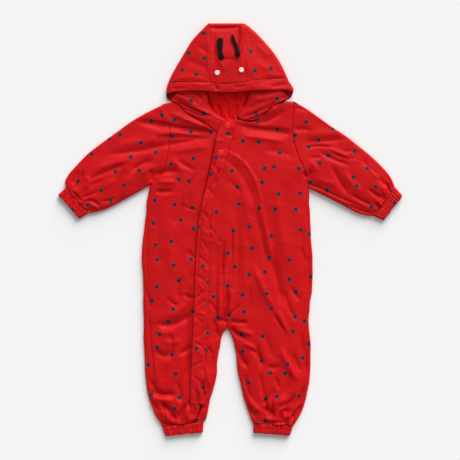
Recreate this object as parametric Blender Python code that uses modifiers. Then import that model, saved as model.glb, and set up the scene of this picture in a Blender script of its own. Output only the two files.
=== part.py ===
"""A baby's hooded puddle suit, laid flat with its front up and its sleeves spread.

The suit lies on its back at z = 0. Its hood points along +Y and +X is the wearer's left.
Every piece of cloth is a wall of its own: the back panels lie on the surface, the fronts lie
on them, the closure flap lies on the underlap, and the hood is an open bag above the neck.
Tables are in millimetres; the first row of each names its columns.
"""

import math

import bmesh
import bpy

MM = 0.001

# Driving dimensions, in millimetres
WALL = 2.8                # shell cloth and lining together
THIN_WALL = 2.0           # band, facing and hood lining
GAP = 0.3                 # between pieces at a seam
CURVE_GAP = 1.1           # where the seam curves, its straight runs need more
NAPE_GAP = 3.6            # under the hood lining, where two such seams meet
SIDE_GAP = 0.42           # half the gap between front and back along the sides
ARC_ANGLES = (0, 9, 42, 90)
EDGE_RADIUS = 4.0         # round of a side, where front and back meet
DOME_RISE = 0.8           # the front stands this much higher away from its edges
DOME_REACH = 45.0
LAP_LIFT = WALL + 0.6     # what lies on the underlap is this much higher
LAP_CLEAR = 6.0
LAP_FALL = 16.0           # width over which it comes down again
LAP_COLUMN = 9.0          # spacing of the panel's columns beside the closure
EDGE_FADE = 12.0          # the lift and the brim's step start this far from an edge
FOLD_START = 2.0          # folds start this far from an edge and are full after the next
FOLD_FADE = 14.0
FOLD_LOW = -2.6           # lowest and highest sum of crossing folds
FOLD_HIGH = 3.0
SHOULDER_OUT = 90.0       # the shoulder line lies further out than this
RISE_EASE = 80.0          # the centre back swings to the crotch over this height
PANEL_WIDTH = 150.0       # nominal widths, from which the columns are spaced
INNER_LEG_WIDTH = 26.0
SLEEVE_WIDTH = 110.0
SLEEVE_RINGS = 13
TOP_BLEND = 150.0         # above this height the rows bend to the neck and shoulder
TOP_ROW = 245.0
BOTTOM_BLEND = -330.0     # below it they bend to the ankle seam
BOTTOM_ROW = -370.0
CROTCH = (-6.0, -187.5)
UNDERARM_RIGHT = (-152.3, 86.0)
UNDERARM_LEFT = (149.4, 80.0)
RISE_TOP = 8.0            # the centre-front rise starts at the closure here
RISE_BENDS = {-2.0, -17.0}
ARMHOLE_BENDS = (86.0, 100.0, 117.0, 142.0)
FLAP_END = -331.0

HOOD_RADIUS = 6.0         # round of the hood's outline
HOOD_GAP = 0.7            # half the gap between its upper and lower layers
HOOD_CROWN = 8.5          # the open hood stands this much higher at its middle
HOOD_CROWN_REACH = 70.0
HOOD_TOP = 392.2
HOOD_LOW = 278.0          # nominal levels of the panels' lowest and highest rows
HOOD_HIGH = 387.0
HOOD_SHOULDER = 374.0     # the even rows end here, below the rounded top
HOOD_SIDE_WIDTH = 60.0
HOOD_WIDTH = 200.0
NAPE_LEVEL = 244.0        # nominal level of the nape, and its height at the middle
NAPE_MIDDLE = 225.5
NAPE_EASE = 40.0
SLOPE_STEP = 6.0          # half the run over which the outline's slope is taken
BRIM_PROUD = 0.7
BAND_FOOT = 9.2           # height of the band at the neck seam
BAND_START = 0.23         # the band starts this share of its width past the seam
FACING_FOOT = 8.8         # height of the facing where it meets the lining
LINING_LIFT = 0.6         # room under the lining for its gathers
LINING_GATHER = 0.5       # half the height of a gather, three across the nape
GATHER_TOP = 250.0        # they fade out below this level
GATHER_FADE = 30.0

RIB_HEIGHT = 1.1          # gathers of the elasticated casings
CASING_WALL = 2.2
CASING_HEIGHT = 8.2

CASING_SLOPES = (60, 30, 0, -30, -60)
CASING_BOTTOM_RUNS = 6

FEELER_THICK = 2.6
FEELER_ARCH = 0.8         # the felt is higher along its middle
DISC_RADIUS = 4.7
DISC_THICK = 1.3
SNAP_RADIUS = 6.3
SNAP_THICK = 2.0
REST_GAP = GAP + 0.3      # under a disc or cap on the curved cloth
RIM_SHARE = 0.35          # of its thickness is bevelled at the rim

# Body outline: side seams
SIDES = (
    ("y", "right", "left"),
    (86, -152.6, 149.4),
    (60, -158.0, 150.3),
    (20, -162.0, 151.6),
    (-10, -165.0, 153.6),
    (-55, -167.8, 156.9),
    (-110, -166.6, 155.0),
    (-170, -165.2, 149.4),
    (-195, -164.6, 150.6),
    (-225, -163.9, 152.8),
    (-265, -162.0, 152.3),
    (-300, -158.4, 149.0),
    (-325, -153.6, 142.6),
    (-350, -144.0, 134.2),
    (-372, -130.5, 121.0),
)

# Armhole seams, from the underarm to the shoulder
ARMHOLES = (
    ("y", "right", "left"),
    (86, -152.0, 148.3),
    (100, -137.5, 144.9),
    (117, -124.6, 138.6),
    (142, -119.0, 127.4),
    (168, -115.8, 120.4),
    (182, -115.0, 118.6),
    (197, -116.0, 118.0),
    (212, -121.4, 118.1),
    (227, -126.6, 118.6),
    (245, -132.6, 121.0),
)

# Inside leg seams, below the crotch
INSEAMS = (
    ("y", "right", "left"),
    (-187.5, -6.0, -6.0),
    (-200, -15.6, 1.6),
    (-222, -20.4, 8.2),
    (-245, -23.4, 12.0),
    (-272, -25.4, 14.8),
    (-298, -31.0, 20.2),
    (-326, -38.2, 28.0),
    (-350, -43.4, 36.0),
    (-372, -50.6, 44.0),
)

# Closure from the neck to the right ankle: free edge of the flap, its stitched side and the
# edge of the underlap beneath it
CLOSURE = (
    ("y", "flap", "stitch", "underlap"),
    (209, -14.5, 14.5, 24),
    (176, -26.3, 3.6, 18),
    (145, -31.4, -5.2, 12),
    (109, -38.4, -14.2, 4),
    (81, -45.4, -24.6, -5),
    (46, -53.4, -33.6, -12),
    (15, -59.4, -38.4, -13),
    (-40, -64.0, -40.2, -16),
    (-92, -66.2, -40.8, -19),
    (-145, -68.6, -42.4, -23),
    (-187, -70.6, -44.8, -31),
    (-215, -72.0, -46.4, -39),
    (-280, -74.6, -49.4, -47),
    (-331, -75.8, -53.0, -56),
    (-372, -76.4, -66.0, -70),
)

# Centre-front rise, from the closure to the crotch
RISE = (
    ("y", "seam"),
    (8, -38.9),
    (-2, -32.6),
    (-17, -22.6),
    (-48, -15.4),
    (-92, -12.7),
    (-134, -12.6),
    (-168, -10.2),
    (-187.5, -6.0),
)

# Neck and shoulder line of each panel
NECK_FRONT_RIGHT = (
    ("x", "y"),
    (-133, 237.6),
    (-115, 241.6),
    (-98.5, 244.0),
    (-93.5, 233.0),
    (-86.0, 222.0),
    (-54.8, 205.4),
    (-34.3, 190.6),
    (-24.0, 185.0),
    (24.0, 185.0),
)
NECK_FRONT_LEFT = (
    ("x", "y"),
    (14.5, 208.6),
    (26.0, 205.4),
    (37.5, 203.6),
    (58.2, 211.8),
    (74.6, 226.2),
    (88.0, 242.0),
    (121.0, 244.0),
)
NECK_BACK = (
    ("x", "y"),
    (-133, 237.6),
    (-98.0, 244.6),
    (-82.0, 236.0),
    (-45.0, 228.0),
    (0.0, 225.5),
    (45.0, 228.0),
    (76.0, 236.0),
    (90.0, 243.4),
    (121.0, 244.0),
)
ANKLE_RIGHT = (
    ("x", "y"),
    (-130.5, -374.6),
    (-50.6, -364.6),
)
ANKLE_LEFT = (
    ("x", "y"),
    (44.0, -367.2),
    (121.0, -372.0),
)

# Sleeves: the two outlines and how much of the armhole's curve each ring keeps
SLEEVE_RIGHT = (
    ("upper_x", "upper_y", "lower_x", "lower_y", "keep"),
    (-133.2, 237.0, -153.0, 85.4, 1.0),
    (-158.0, 224.4, -166.0, 77.6, 0.66),
    (-186.5, 207.8, -180.0, 69.4, 0.4),
    (-217.5, 185.2, -195.5, 60.6, 0.2),
    (-246.0, 164.2, -211.5, 51.8, 0.08),
    (-271.0, 144.6, -228.0, 43.2, 0.0),
    (-294.0, 121.0, -245.0, 36.0, 0.0),
    (-308.6, 104.0, -257.0, 33.0, 0.0),
    (-315.0, 90.0, -265.0, 31.6, 0.0),
    (-313.2, 82.0, -270.0, 31.8, 0.0),
)
SLEEVE_LEFT = (
    ("upper_x", "upper_y", "lower_x", "lower_y", "keep"),
    (121.6, 244.2, 150.0, 79.2, 1.0),
    (146.0, 229.4, 165.0, 71.4, 0.66),
    (170.6, 212.2, 180.0, 63.8, 0.4),
    (195.0, 194.4, 196.0, 55.6, 0.2),
    (219.0, 178.8, 213.0, 46.8, 0.08),
    (244.0, 159.2, 230.0, 37.4, 0.0),
    (268.0, 139.4, 244.0, 30.6, 0.0),
    (290.0, 118.2, 257.0, 27.2, 0.0),
    (305.0, 99.8, 267.0, 26.0, 0.0),
    (312.6, 82.6, 274.2, 26.0, 0.0),
)

# Elasticated casings: corners at the seam and at the open end, and gathers on the front
CASINGS = (
    ("name", "seam_a", "seam_b", "open_a", "open_b", "gathers"),
    ("wrist_casing_right", (-313.0, 80.4), (-270.6, 31.0), (-327.7, 66.6), (-287.6, 20.4), 12),
    ("wrist_casing_left", (274.6, 25.0), (313.2, 81.2), (291.2, 17.2), (327.7, 64.6), 12),
    ("ankle_casing_right", (-129.6, -375.2), (-50.8, -365.2), (-124.0, -392.2), (-52.2, -386.0), 15),
    ("ankle_casing_left", (44.0, -367.8), (119.6, -372.6), (43.6, -386.0), (113.6, -392.2), 15),
)

# Hood: outline of its sides, and the two long seams beside the centre panel
HOOD_OUTLINE = (
    ("y", "right", "left"),
    (243, -109.0, 100.0),
    (254, -122.0, 117.6),
    (266, -121.6, 120.2),
    (281, -117.4, 112.0),
    (306, -105.2, 100.6),
    (330, -91.0, 87.0),
    (357, -74.6, 65.0),
    (372, -62.0, 51.2),
    (386, -48.0, 35.0),
    (392.2, -42.0, 26.0),
)
HOOD_SEAMS = (
    ("y", "right", "left"),
    (260, -39.4, 42.0),
    (284, -39.4, 39.0),
    (315, -39.2, 35.0),
    (342, -39.2, 31.4),
    (365, -39.6, 27.6),
    (392.2, -41.0, 24.4),
)
BRIM = (
    ("x", "edge", "seam"),
    (-121.5, 257.6, 279.6),
    (-101.4, 261.4, 280.2),
    (-70.2, 262.8, 279.8),
    (-39.4, 260.8, 278.8),
    (-20.8, 259.4, 275.6),
    (1.8, 259.4, 276.4),
    (32.8, 262.2, 280.2),
    (74.0, 264.2, 285.0),
    (100.0, 265.0, 286.6),
    (119.6, 262.0, 287.6),
)

# Front edge of the hood, from its corner to the neck: band outside, facing inside.
# "out" is the band's seam, "edge" the ridge and "in" the facing's inner side.
HOOD_FRONT_RIGHT = (
    ("edge_x", "edge_y", "out_x", "out_y", "in_x", "in_y", "ridge"),
    (-113.0, 247.6, -100.6, 246.0, -100.0, 264.0, 9.2),
    (-96.0, 238.6, -93.0, 234.0, -84.0, 259.0, 11.4),
    (-80.7, 232.6, -85.2, 222.8, -70.0, 252.0, 13.4),
    (-64.0, 225.6, -69.0, 213.8, -57.0, 243.0, 14.5),
    (-49.7, 219.0, -54.2, 206.4, -45.0, 235.0, 14.6),
    (-36.0, 213.2, -43.0, 198.0, -33.0, 226.0, 14.4),
    (-25.0, 209.2, -33.6, 191.2, -23.0, 218.0, 13.8),
    (-17.6, 208.0, -27.0, 187.0, -15.4, 214.6, 13.2),
)
HOOD_FRONT_LEFT = (
    ("edge_x", "edge_y", "out_x", "out_y", "in_x", "in_y", "ridge"),
    (111.0, 252.0, 94.0, 246.4, 92.0, 267.0, 9.2),
    (100.8, 246.0, 88.0, 242.8, 74.0, 264.0, 11.0),
    (80.1, 237.6, 74.0, 227.4, 54.0, 260.0, 13.2),
    (63.7, 231.0, 58.0, 212.9, 42.0, 254.0, 14.4),
    (47.0, 225.2, 48.0, 208.0, 34.0, 242.0, 14.6),
    (32.0, 219.6, 37.5, 204.7, 27.0, 229.0, 14.4),
    (21.6, 213.8, 26.0, 206.5, 17.4, 219.0, 13.8),
    (16.6, 211.2, 19.0, 208.4, 12.4, 215.0, 13.2),
)
HOOD_LINING = (
    ("y", "right", "left"),
    (212, -15, 13),
    (221, -27, 22),
    (232, -40, 32),
    (244, -56, 40),
    (258, -76, 52),
    (276, -84, 62),
    (300, -74, 60),
)

# Largest folds: a ridge has a positive rise and a trough a negative one
FOLDS = (
    ("x0", "y0", "x1", "y1", "half_width", "rise"),
    (-118, 214, -32, 184, 9, -2.4),
    (-116, 194, -38, 171, 13, 1.5),
    (22, 196, 116, 196, 9, -2.4),
    (16, 179, 116, 177, 13, 1.5),
    (-134, 151, -256, 104, 10, -2.0),
    (-138, 128, -246, 76, 12, 2.0),
    (-132, 184, -232, 140, 12, 1.6),
    (138, 152, 238, 152, 9, -1.6),
    (174, 132, 262, 112, 9, -1.6),
    (166, 92, 238, 62, 12, 1.8),
    (-148, 86, -104, 26, 10, 2.0),
    (-150, 70, -128, -10, 9, -1.6),
    (146, 78, 104, 26, 10, 2.0),
    (28, 122, 60, 46, 8, -1.8),
    (60, 46, 75, -78, 8, -1.8),
    (75, -78, 108, -170, 8, -1.8),
    (36, 60, 44, -60, 12, 1.4),
    (-120, 40, -86, -40, 14, 1.4),
    (-136, -62, -84, -116, 12, 1.4),
    (78, -160, 102, -198, 9, 1.8),
    (-10, -196, -34, -214, 8, -1.5),
    (-2, -192, 50, -222, 8, -1.5),
    (-112, -190, -100, -320, 14, 1.6),
    (86, -222, 80, -336, 14, 1.6),
    (-134, -330, -122, -366, 7, 1.4),
    (56, -330, 64, -362, 7, 1.4),
    (104, -332, 98, -366, 7, 1.4),
    (-96, -334, -96, -368, 7, 1.4),
    (-304, 88, -280, 62, 7, 1.4),
    (296, 74, 268, 56, 7, 1.4),
)

SHELL_RED = ("shell_red", (0.62, 0.012, 0.018), 0.42)
LINING_RED = ("lining_red", (0.60, 0.016, 0.012), 0.65)
FELT_BLACK = ("felt_black", (0.012, 0.010, 0.009), 0.9)
FELT_PALE = ("felt_pale", (0.80, 0.62, 0.62), 0.85)
SNAP_RED = ("snap_red", (0.66, 0.02, 0.02), 0.35)


ARC_SHARES = [1.0 - math.cos(math.radians(angle)) for angle in ARC_ANGLES]


def clear_scene():
    for item in list(bpy.data.objects):
        bpy.data.objects.remove(item, do_unlink=True)


def finish_of(entry):
    name, colour, roughness = entry
    material = bpy.data.materials.get(name) or bpy.data.materials.new(name)
    material.use_nodes = True
    shader = material.node_tree.nodes["Principled BSDF"]
    shader.inputs["Base Color"].default_value = (*colour, 1.0)
    shader.inputs["Roughness"].default_value = roughness
    shader.inputs["Metallic"].default_value = 0.0
    return material


def add_object(name, bm, finish, collection):
    mesh = bpy.data.meshes.new(name)
    bm.to_mesh(mesh)
    bm.free()
    mesh.shade_smooth()
    mesh.materials.append(finish_of(finish))
    item = bpy.data.objects.new(name, mesh)
    collection.objects.link(item)
    return item


def smooth(value):
    """Ease from 0 to 1 while value goes from 0 to 1."""
    value = min(1.0, max(0.0, value))
    return value * value * (3.0 - 2.0 * value)


def read(table, column, at):
    """Value of a column where the table's first column is at, on straight runs."""
    place = table[0].index(column)
    rows = sorted(table[1:], key=lambda row: row[0])
    if at <= rows[0][0]:
        return rows[0][place]
    for low, high in zip(rows, rows[1:]):
        if at <= high[0]:
            share = (at - low[0]) / (high[0] - low[0])
            return low[place] + (high[place] - low[place]) * share
    return rows[-1][place]


def row_at(table, place):
    """Row of a table at a fractional place, on straight runs, as a dictionary."""
    rows = table[1:]
    index = min(int(place), len(rows) - 2)
    share = place - index
    pair = zip(table[0], rows[index], rows[index + 1])
    return {name: low + (high - low) * share for name, low, high in pair}


def rounded(inset, radius):
    """Height of a quarter circle at a distance in from its edge."""
    if inset >= radius:
        return radius
    return math.sqrt(max(0.0, radius ** 2 - (radius - inset) ** 2))


def folds_at(x, y):
    """Sum of the folds at a point: each is a soft wave across and fades along."""
    total = 0.0
    for x0, y0, x1, y1, half_width, rise in FOLDS[1:]:
        run = math.hypot(x1 - x0, y1 - y0)
        along = ((x - x0) * (x1 - x0) + (y - y0) * (y1 - y0)) / run ** 2
        if -0.1 < along < 1.1:
            across = ((x - x0) * (y1 - y0) - (y - y0) * (x1 - x0)) / run
            if abs(across) < half_width:
                wave = 0.5 + 0.5 * math.cos(math.pi * across / half_width)
                total += rise * wave * math.sin(math.pi * min(1.0, max(0.0, along))) ** 0.6
    return max(FOLD_LOW, min(FOLD_HIGH, total))


def front_height(x, y, inset):
    """Height of the front's outer face; inset is the distance in from the outline."""
    dome = DOME_RISE * smooth(inset / DOME_REACH)
    fade = smooth((inset - FOLD_START) / FOLD_FADE)
    return EDGE_RADIUS + rounded(inset, EDGE_RADIUS) + dome + folds_at(x, y) * fade


def lap_lift(x, y):
    """Extra height of what lies on the underlap, falling away past its edge."""
    past = x - read(CLOSURE, "underlap", y) - LAP_CLEAR
    return LAP_LIFT * (1.0 - smooth(past / LAP_FALL))


def body_inset(x, y, side, with_inseam):
    """Distance in from the body's outline: side seam, underarm, shoulder and inside leg."""
    corner = UNDERARM_RIGHT if side == "right" else UNDERARM_LEFT
    if y > corner[1]:
        inset = math.hypot(x - corner[0], y - corner[1])
    else:
        inset = abs(x - read(SIDES, side, y))
    if with_inseam:
        if y > CROTCH[1]:
            inset = min(inset, math.hypot(x - CROTCH[0], y - CROTCH[1]))
        else:
            inset = min(inset, abs(x - read(INSEAMS, side, y)))
    shoulder = read(NECK_BACK, "y", x) + SIDE_GAP
    if abs(x) > SHOULDER_OUT:
        inset = min(inset, abs(shoulder - y))
    return inset


def outer_edge(side, y):
    corner = UNDERARM_RIGHT if side == "right" else UNDERARM_LEFT
    sign = -1.0 if side == "right" else 1.0
    table = ARMHOLES if y > corner[1] else SIDES
    trim = CURVE_GAP if y > corner[1] else 0.0
    return read(table, side, y) - sign * trim


def spread(width, step, round_first, round_last, radius):
    """Shares 0 to 1 across a section, closer together where an end is rounded."""
    arc = [radius * share for share in ARC_SHARES]
    start = arc if round_first else [0.0]
    end = [width - value for value in reversed(arc)] if round_last else [width]
    inner = end[0] - start[-1]
    count = max(1, round(inner / step))
    middle = [start[-1] + inner * index / count for index in range(1, count)]
    return [value / width for value in start + middle + end]


def sheet(name, rows, columns, place, wall, finish, collection, face_down=False, wrap=False):
    """A wall of cloth: a grid moved to its outer face and given its thickness inwards."""
    across = len(columns) - 1
    along = len(rows) - 1
    bm = bmesh.new()
    bmesh.ops.create_grid(bm, x_segments=across, y_segments=along, size=0.5)
    for vert in bm.verts:
        column = columns[round((vert.co.x + 0.5) * across)]
        row = rows[round((vert.co.y + 0.5) * along)]
        vert.co = [value * MM for value in place(row, column)]
    if wrap:
        bmesh.ops.remove_doubles(bm, verts=bm.verts, dist=0.00001)
    if face_down:
        bmesh.ops.reverse_faces(bm, faces=bm.faces)
    item = add_object(name, bm, finish, collection)
    shell = item.modifiers.new("Wall", "SOLIDIFY")
    shell.thickness = wall * MM
    shell.offset = -1.0
    return item


def levels(first, last, step, extra=()):
    """Evenly spaced rows from first to last, with the extra ones kept exactly."""
    count = max(1, round(abs(last - first) / step))
    even = [first + (last - first) * index / count for index in range(count + 1)]
    kept = [value for value in even if all(abs(value - other) > step * 0.4 for other in extra)]
    return sorted(set(kept) | set(extra))


def bent_row(y, x, neck, ankle):
    """A row's height at x, bent towards the neck line above and the ankle seam below."""
    if y > TOP_BLEND and neck:
        share = (y - TOP_BLEND) / (TOP_ROW - TOP_BLEND)
        return y + (read(neck, "y", x) - TOP_ROW) * share
    if y < BOTTOM_BLEND:
        share = (BOTTOM_BLEND - y) / (BOTTOM_BLEND - BOTTOM_ROW)
        return y + (read(ankle, "y", x) - BOTTOM_ROW) * share
    return y


def body_rows(top, step):
    arc = [top - EDGE_RADIUS * share for share in ARC_SHARES]
    return levels(BOTTOM_ROW, top, step, (BOTTOM_ROW, CROTCH[1], *ARMHOLE_BENDS, *arc))


def body_place(inner, side, neck, ankle, height):
    """Point of a body panel: its row runs from the inner edge out to the side."""
    def place(row, share):
        first = inner(row)
        x = first + (outer_edge(side, row) - first) * share
        y = bent_row(row, x, neck, ankle)
        first = inner(y)
        x = first + (outer_edge(side, y) - first) * share
        return x, y, height(x, y)
    return place


def back_panels(collection):
    """Right and left backs, flat on the surface, joined at the centre-back seam."""
    for side, sign, ankle in (("right", -1.0, ANKLE_RIGHT), ("left", 1.0, ANKLE_LEFT)):
        def inner(y, side=side, sign=sign):
            if y >= CROTCH[1]:
                share = smooth((y - CROTCH[1]) / RISE_EASE)
                return CROTCH[0] * (1.0 - share) + sign * GAP * 0.5
            return read(INSEAMS, side, y)

        def height(x, y, side=side):
            inset = body_inset(x, y, side, True)
            radius = EDGE_RADIUS - SIDE_GAP
            return radius - rounded(inset, radius)

        columns = spread(PANEL_WIDTH, 36.0, True, True, EDGE_RADIUS)
        place = body_place(inner, side, NECK_BACK, ankle, height)
        sheet("back_" + side, body_rows(TOP_ROW, 36.0), columns, place, WALL, SHELL_RED,
              collection, face_down=sign > 0)


def front_right(collection):
    """Outer front of the right side, which carries on under the flap as the underlap."""
    def inner(y):
        return read(CLOSURE, "underlap", y)

    def height(x, y):
        return front_height(x, y, body_inset(x, y, "right", False)) + SIDE_GAP

    columns = spread(PANEL_WIDTH, 19.0, False, True, EDGE_RADIUS)
    place = body_place(inner, "right", NECK_FRONT_RIGHT, ANKLE_RIGHT, height)
    sheet("front_right", body_rows(TOP_ROW, 27.0), columns, place, WALL, SHELL_RED, collection,
          face_down=True)


def front_left(collection):
    """Left front and left leg; its inner edge is the closure's stitching, then the rise."""
    def inner(y):
        if y >= RISE_TOP:
            return read(CLOSURE, "stitch", y) + GAP
        if y >= CROTCH[1]:
            return read(RISE, "seam", y) + GAP
        return read(INSEAMS, "left", y)

    def height(x, y):
        inset = body_inset(x, y, "left", True)
        lift = lap_lift(x, y) * smooth(inset / EDGE_FADE)
        return front_height(x, y, inset) + lift + SIDE_GAP

    columns = spread(PANEL_WIDTH, 17.0, True, True, EDGE_RADIUS)
    columns = sorted(set(columns) | {LAP_COLUMN / PANEL_WIDTH * count for count in (1, 2, 3, 5)})
    place = body_place(inner, "left", NECK_FRONT_LEFT, ANKLE_LEFT, height)
    rows = sorted(set(body_rows(TOP_ROW, 27.0)) | {RISE_TOP} | RISE_BENDS)
    sheet("front_left", rows, columns, place, WALL, SHELL_RED, collection)


def inner_leg_right(collection):
    """Inner front of the right leg, between the closure, the rise and the inside leg."""
    top = RISE_TOP - 1.5

    def outer(y):
        return read(CLOSURE, "stitch", y) + GAP

    def inner(y):
        return read(RISE, "seam", y) - GAP if y >= CROTCH[1] else read(INSEAMS, "right", y)

    def place(row, share):
        first = outer(row)
        x = first + (inner(row) - first) * share
        y = bent_row(row, x, None, ANKLE_RIGHT)
        inset = body_inset(x, y, "right", True)
        lift = lap_lift(x, y) * smooth(inset / EDGE_FADE)
        return x, y, front_height(x, y, inset) + lift + SIDE_GAP

    columns = spread(INNER_LEG_WIDTH, 8.0, False, True, EDGE_RADIUS)
    rows = levels(BOTTOM_ROW, top, 21.0, (BOTTOM_ROW, FLAP_END, CROTCH[1], *RISE_BENDS, top))
    sheet("inner_leg_right", rows, columns, place, WALL, SHELL_RED, collection)


def closure_flap(collection):
    """Flap over the zip: its left edge is free and its right side is stitched down."""
    top = 208.6

    def place(row, share):
        first = read(CLOSURE, "flap", row)
        last = read(CLOSURE, "stitch", row) - GAP
        x = first + (last - first) * share
        inset = body_inset(x, row, "right", False)
        return x, row, front_height(x, row, inset) + LAP_LIFT + SIDE_GAP

    rows = levels(FLAP_END, top, 19.0, (FLAP_END, top))
    sheet("closure_flap", rows, [0.0, 0.2, 0.5, 0.8, 1.0], place, WALL, SHELL_RED, collection)


def sleeves(collection):
    """Each sleeve is one flattened tube, from its bowed armhole to the wrist seam."""
    for side, table in (("right", SLEEVE_RIGHT), ("left", SLEEVE_LEFT)):
        outwards = -1.0 if side == "right" else 1.0

        def place(row, column, table=table, side=side, outwards=outwards):
            upper_side, share = column
            first = row_at(table, 0)
            seam_y = first["upper_y"] + (first["lower_y"] - first["upper_y"]) * share
            seam_x = first["upper_x"] + (first["lower_x"] - first["upper_x"]) * share
            bow = read(ARMHOLES, side, seam_y) + outwards * CURVE_GAP - seam_x
            ring = row_at(table, row)
            upper = (ring["upper_x"], ring["upper_y"])
            lower = (ring["lower_x"], ring["lower_y"])
            width = math.hypot(upper[0] - lower[0], upper[1] - lower[1])
            x = upper[0] + (lower[0] - upper[0]) * share + bow * ring["keep"]
            y = upper[1] + (lower[1] - upper[1]) * share
            inset = min(share, 1.0 - share) * width
            if upper_side:
                return x, y, front_height(x, y, inset)
            return x, y, EDGE_RADIUS - rounded(inset, EDGE_RADIUS)

        top = spread(SLEEVE_WIDTH, 14.0, True, True, EDGE_RADIUS)
        under = spread(SLEEVE_WIDTH, 34.0, True, True, EDGE_RADIUS)
        ring = [(True, share) for share in top]
        ring += [(False, share) for share in reversed(under)][1:]
        last = len(table) - 2
        rows = [last * index / (SLEEVE_RINGS - 1) for index in range(SLEEVE_RINGS)]
        sheet("sleeve_" + side, rows, ring, place, WALL, SHELL_RED, collection,
              face_down=side == "right", wrap=True)


def casing_ring(width, wall, gathers, ribbed):
    """Outer or inner points round a flattened casing, as pairs of sideways place and height."""
    radius = CASING_HEIGHT * 0.5 - wall
    low = wall
    half = width * 0.5 - wall
    points = []
    steps = gathers * 2
    for index in range(steps + 1):
        place = -half + radius + 2.0 * (half - radius) * index / steps
        rib = RIB_HEIGHT if ribbed and index % 2 else 0.0
        points.append((place, low + 2.0 * radius + rib))
    for angle in CASING_SLOPES:
        turn = math.radians(angle)
        points.append((half - radius + radius * math.cos(turn), low + radius * (1 + math.sin(turn))))
    for index in range(CASING_BOTTOM_RUNS + 1):
        share = index / CASING_BOTTOM_RUNS
        points.append((half - radius - 2.0 * (half - radius) * share, low))
    for angle in CASING_SLOPES:
        turn = math.radians(180 + angle)
        points.append((-half + radius + radius * math.cos(turn), low + radius * (1 + math.sin(turn))))
    return points


def casings(collection):
    """Wrist and ankle casings: the elastic gathers the front into ribs over a plain inside."""
    for name, seam_a, seam_b, open_a, open_b, gathers in CASINGS[1:]:
        bm = bmesh.new()
        loops = []
        outside = ((0.0, False), (0.2, True), (0.8, True), (1.0, False))
        inside = ((1.0, False), (0.0, False))
        for wall, order in ((0.0, outside), (CASING_WALL, inside)):
            for share, ribbed in order:
                start = [a + (b - a) * share for a, b in zip(seam_a, open_a)]
                end = [a + (b - a) * share for a, b in zip(seam_b, open_b)]
                width = math.hypot(end[0] - start[0], end[1] - start[1])
                across = ((end[0] - start[0]) / width, (end[1] - start[1]) / width)
                middle = ((start[0] + end[0]) * 0.5, (start[1] + end[1]) * 0.5)
                ring = casing_ring(width, wall, gathers, ribbed and wall == 0.0)
                loops.append([bm.verts.new((
                    (middle[0] + across[0] * place) * MM,
                    (middle[1] + across[1] * place) * MM,
                    height * MM)) for place, height in ring])
        for low, high in zip(loops, loops[1:] + loops[:1]):
            for index in range(len(low)):
                after = (index + 1) % len(low)
                bm.faces.new((low[index], low[after], high[after], high[index]))
        bmesh.ops.recalc_face_normals(bm, faces=bm.faces)
        add_object(name, bm, SHELL_RED, collection)


def hood_inset(x, y):
    """Distance in from the hood's outline: its slanted sides and its top."""
    side = "right" if x < 0.0 else "left"
    edge = read(HOOD_OUTLINE, side, y)
    above = read(HOOD_OUTLINE, side, y + SLOPE_STEP)
    slope = (above - read(HOOD_OUTLINE, side, y - SLOPE_STEP)) / (2.0 * SLOPE_STEP)
    return min(abs(edge - x) / math.hypot(1.0, slope), max(0.0, HOOD_TOP - y))


def hood_height(x, y):
    """Outer face of the hood's upper layer, highest near the open brim."""
    inset = hood_inset(x, y)
    crown = HOOD_CROWN * smooth(inset / HOOD_CROWN_REACH)
    return HOOD_RADIUS + HOOD_GAP + rounded(inset, HOOD_RADIUS) + crown


def hood_panels(collection):
    """Centre and side panels of the upper layer, from the brim seam to the top."""
    def brim_seam(x):
        return read(BRIM, "seam", x) + CURVE_GAP

    def center(row, share):
        first = read(HOOD_SEAMS, "right", row) + CURVE_GAP * 0.5
        last = read(HOOD_SEAMS, "left", row) - CURVE_GAP * 0.5
        x = first + (last - first) * share
        y = row + (brim_seam(x) - rows[0]) * (HOOD_TOP - row) / (HOOD_TOP - rows[0])
        return x, y, hood_height(x, y)

    top = [HOOD_TOP - HOOD_RADIUS * value for value in ARC_SHARES]
    rows = sorted(levels(HOOD_LOW, HOOD_SHOULDER, 13.0, (HOOD_LOW,)) + top)
    sheet("hood_center", rows, [index / 6 for index in range(7)], center, WALL, SHELL_RED,
          collection)

    for side, sign in (("right", -1.0), ("left", 1.0)):
        def place(row, share, side=side, sign=sign):
            first = read(HOOD_SEAMS, side, row) + sign * CURVE_GAP * 0.5
            last = read(HOOD_OUTLINE, side, row)
            x = first + (last - first) * share
            y = row + (brim_seam(x) - HOOD_LOW) * (HOOD_HIGH - row) / (HOOD_HIGH - HOOD_LOW)
            first = read(HOOD_SEAMS, side, y) + sign * CURVE_GAP * 0.5
            last = read(HOOD_OUTLINE, side, y)
            x = first + (last - first) * share
            return x, y, hood_height(x, y)

        columns = spread(HOOD_SIDE_WIDTH, 12.0, False, True, HOOD_RADIUS)
        rows = levels(HOOD_LOW, HOOD_HIGH, 12.0, (HOOD_LOW, HOOD_HIGH))
        sheet("hood_side_" + side, rows, columns, place, WALL, SHELL_RED, collection,
              face_down=sign < 0)


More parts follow.
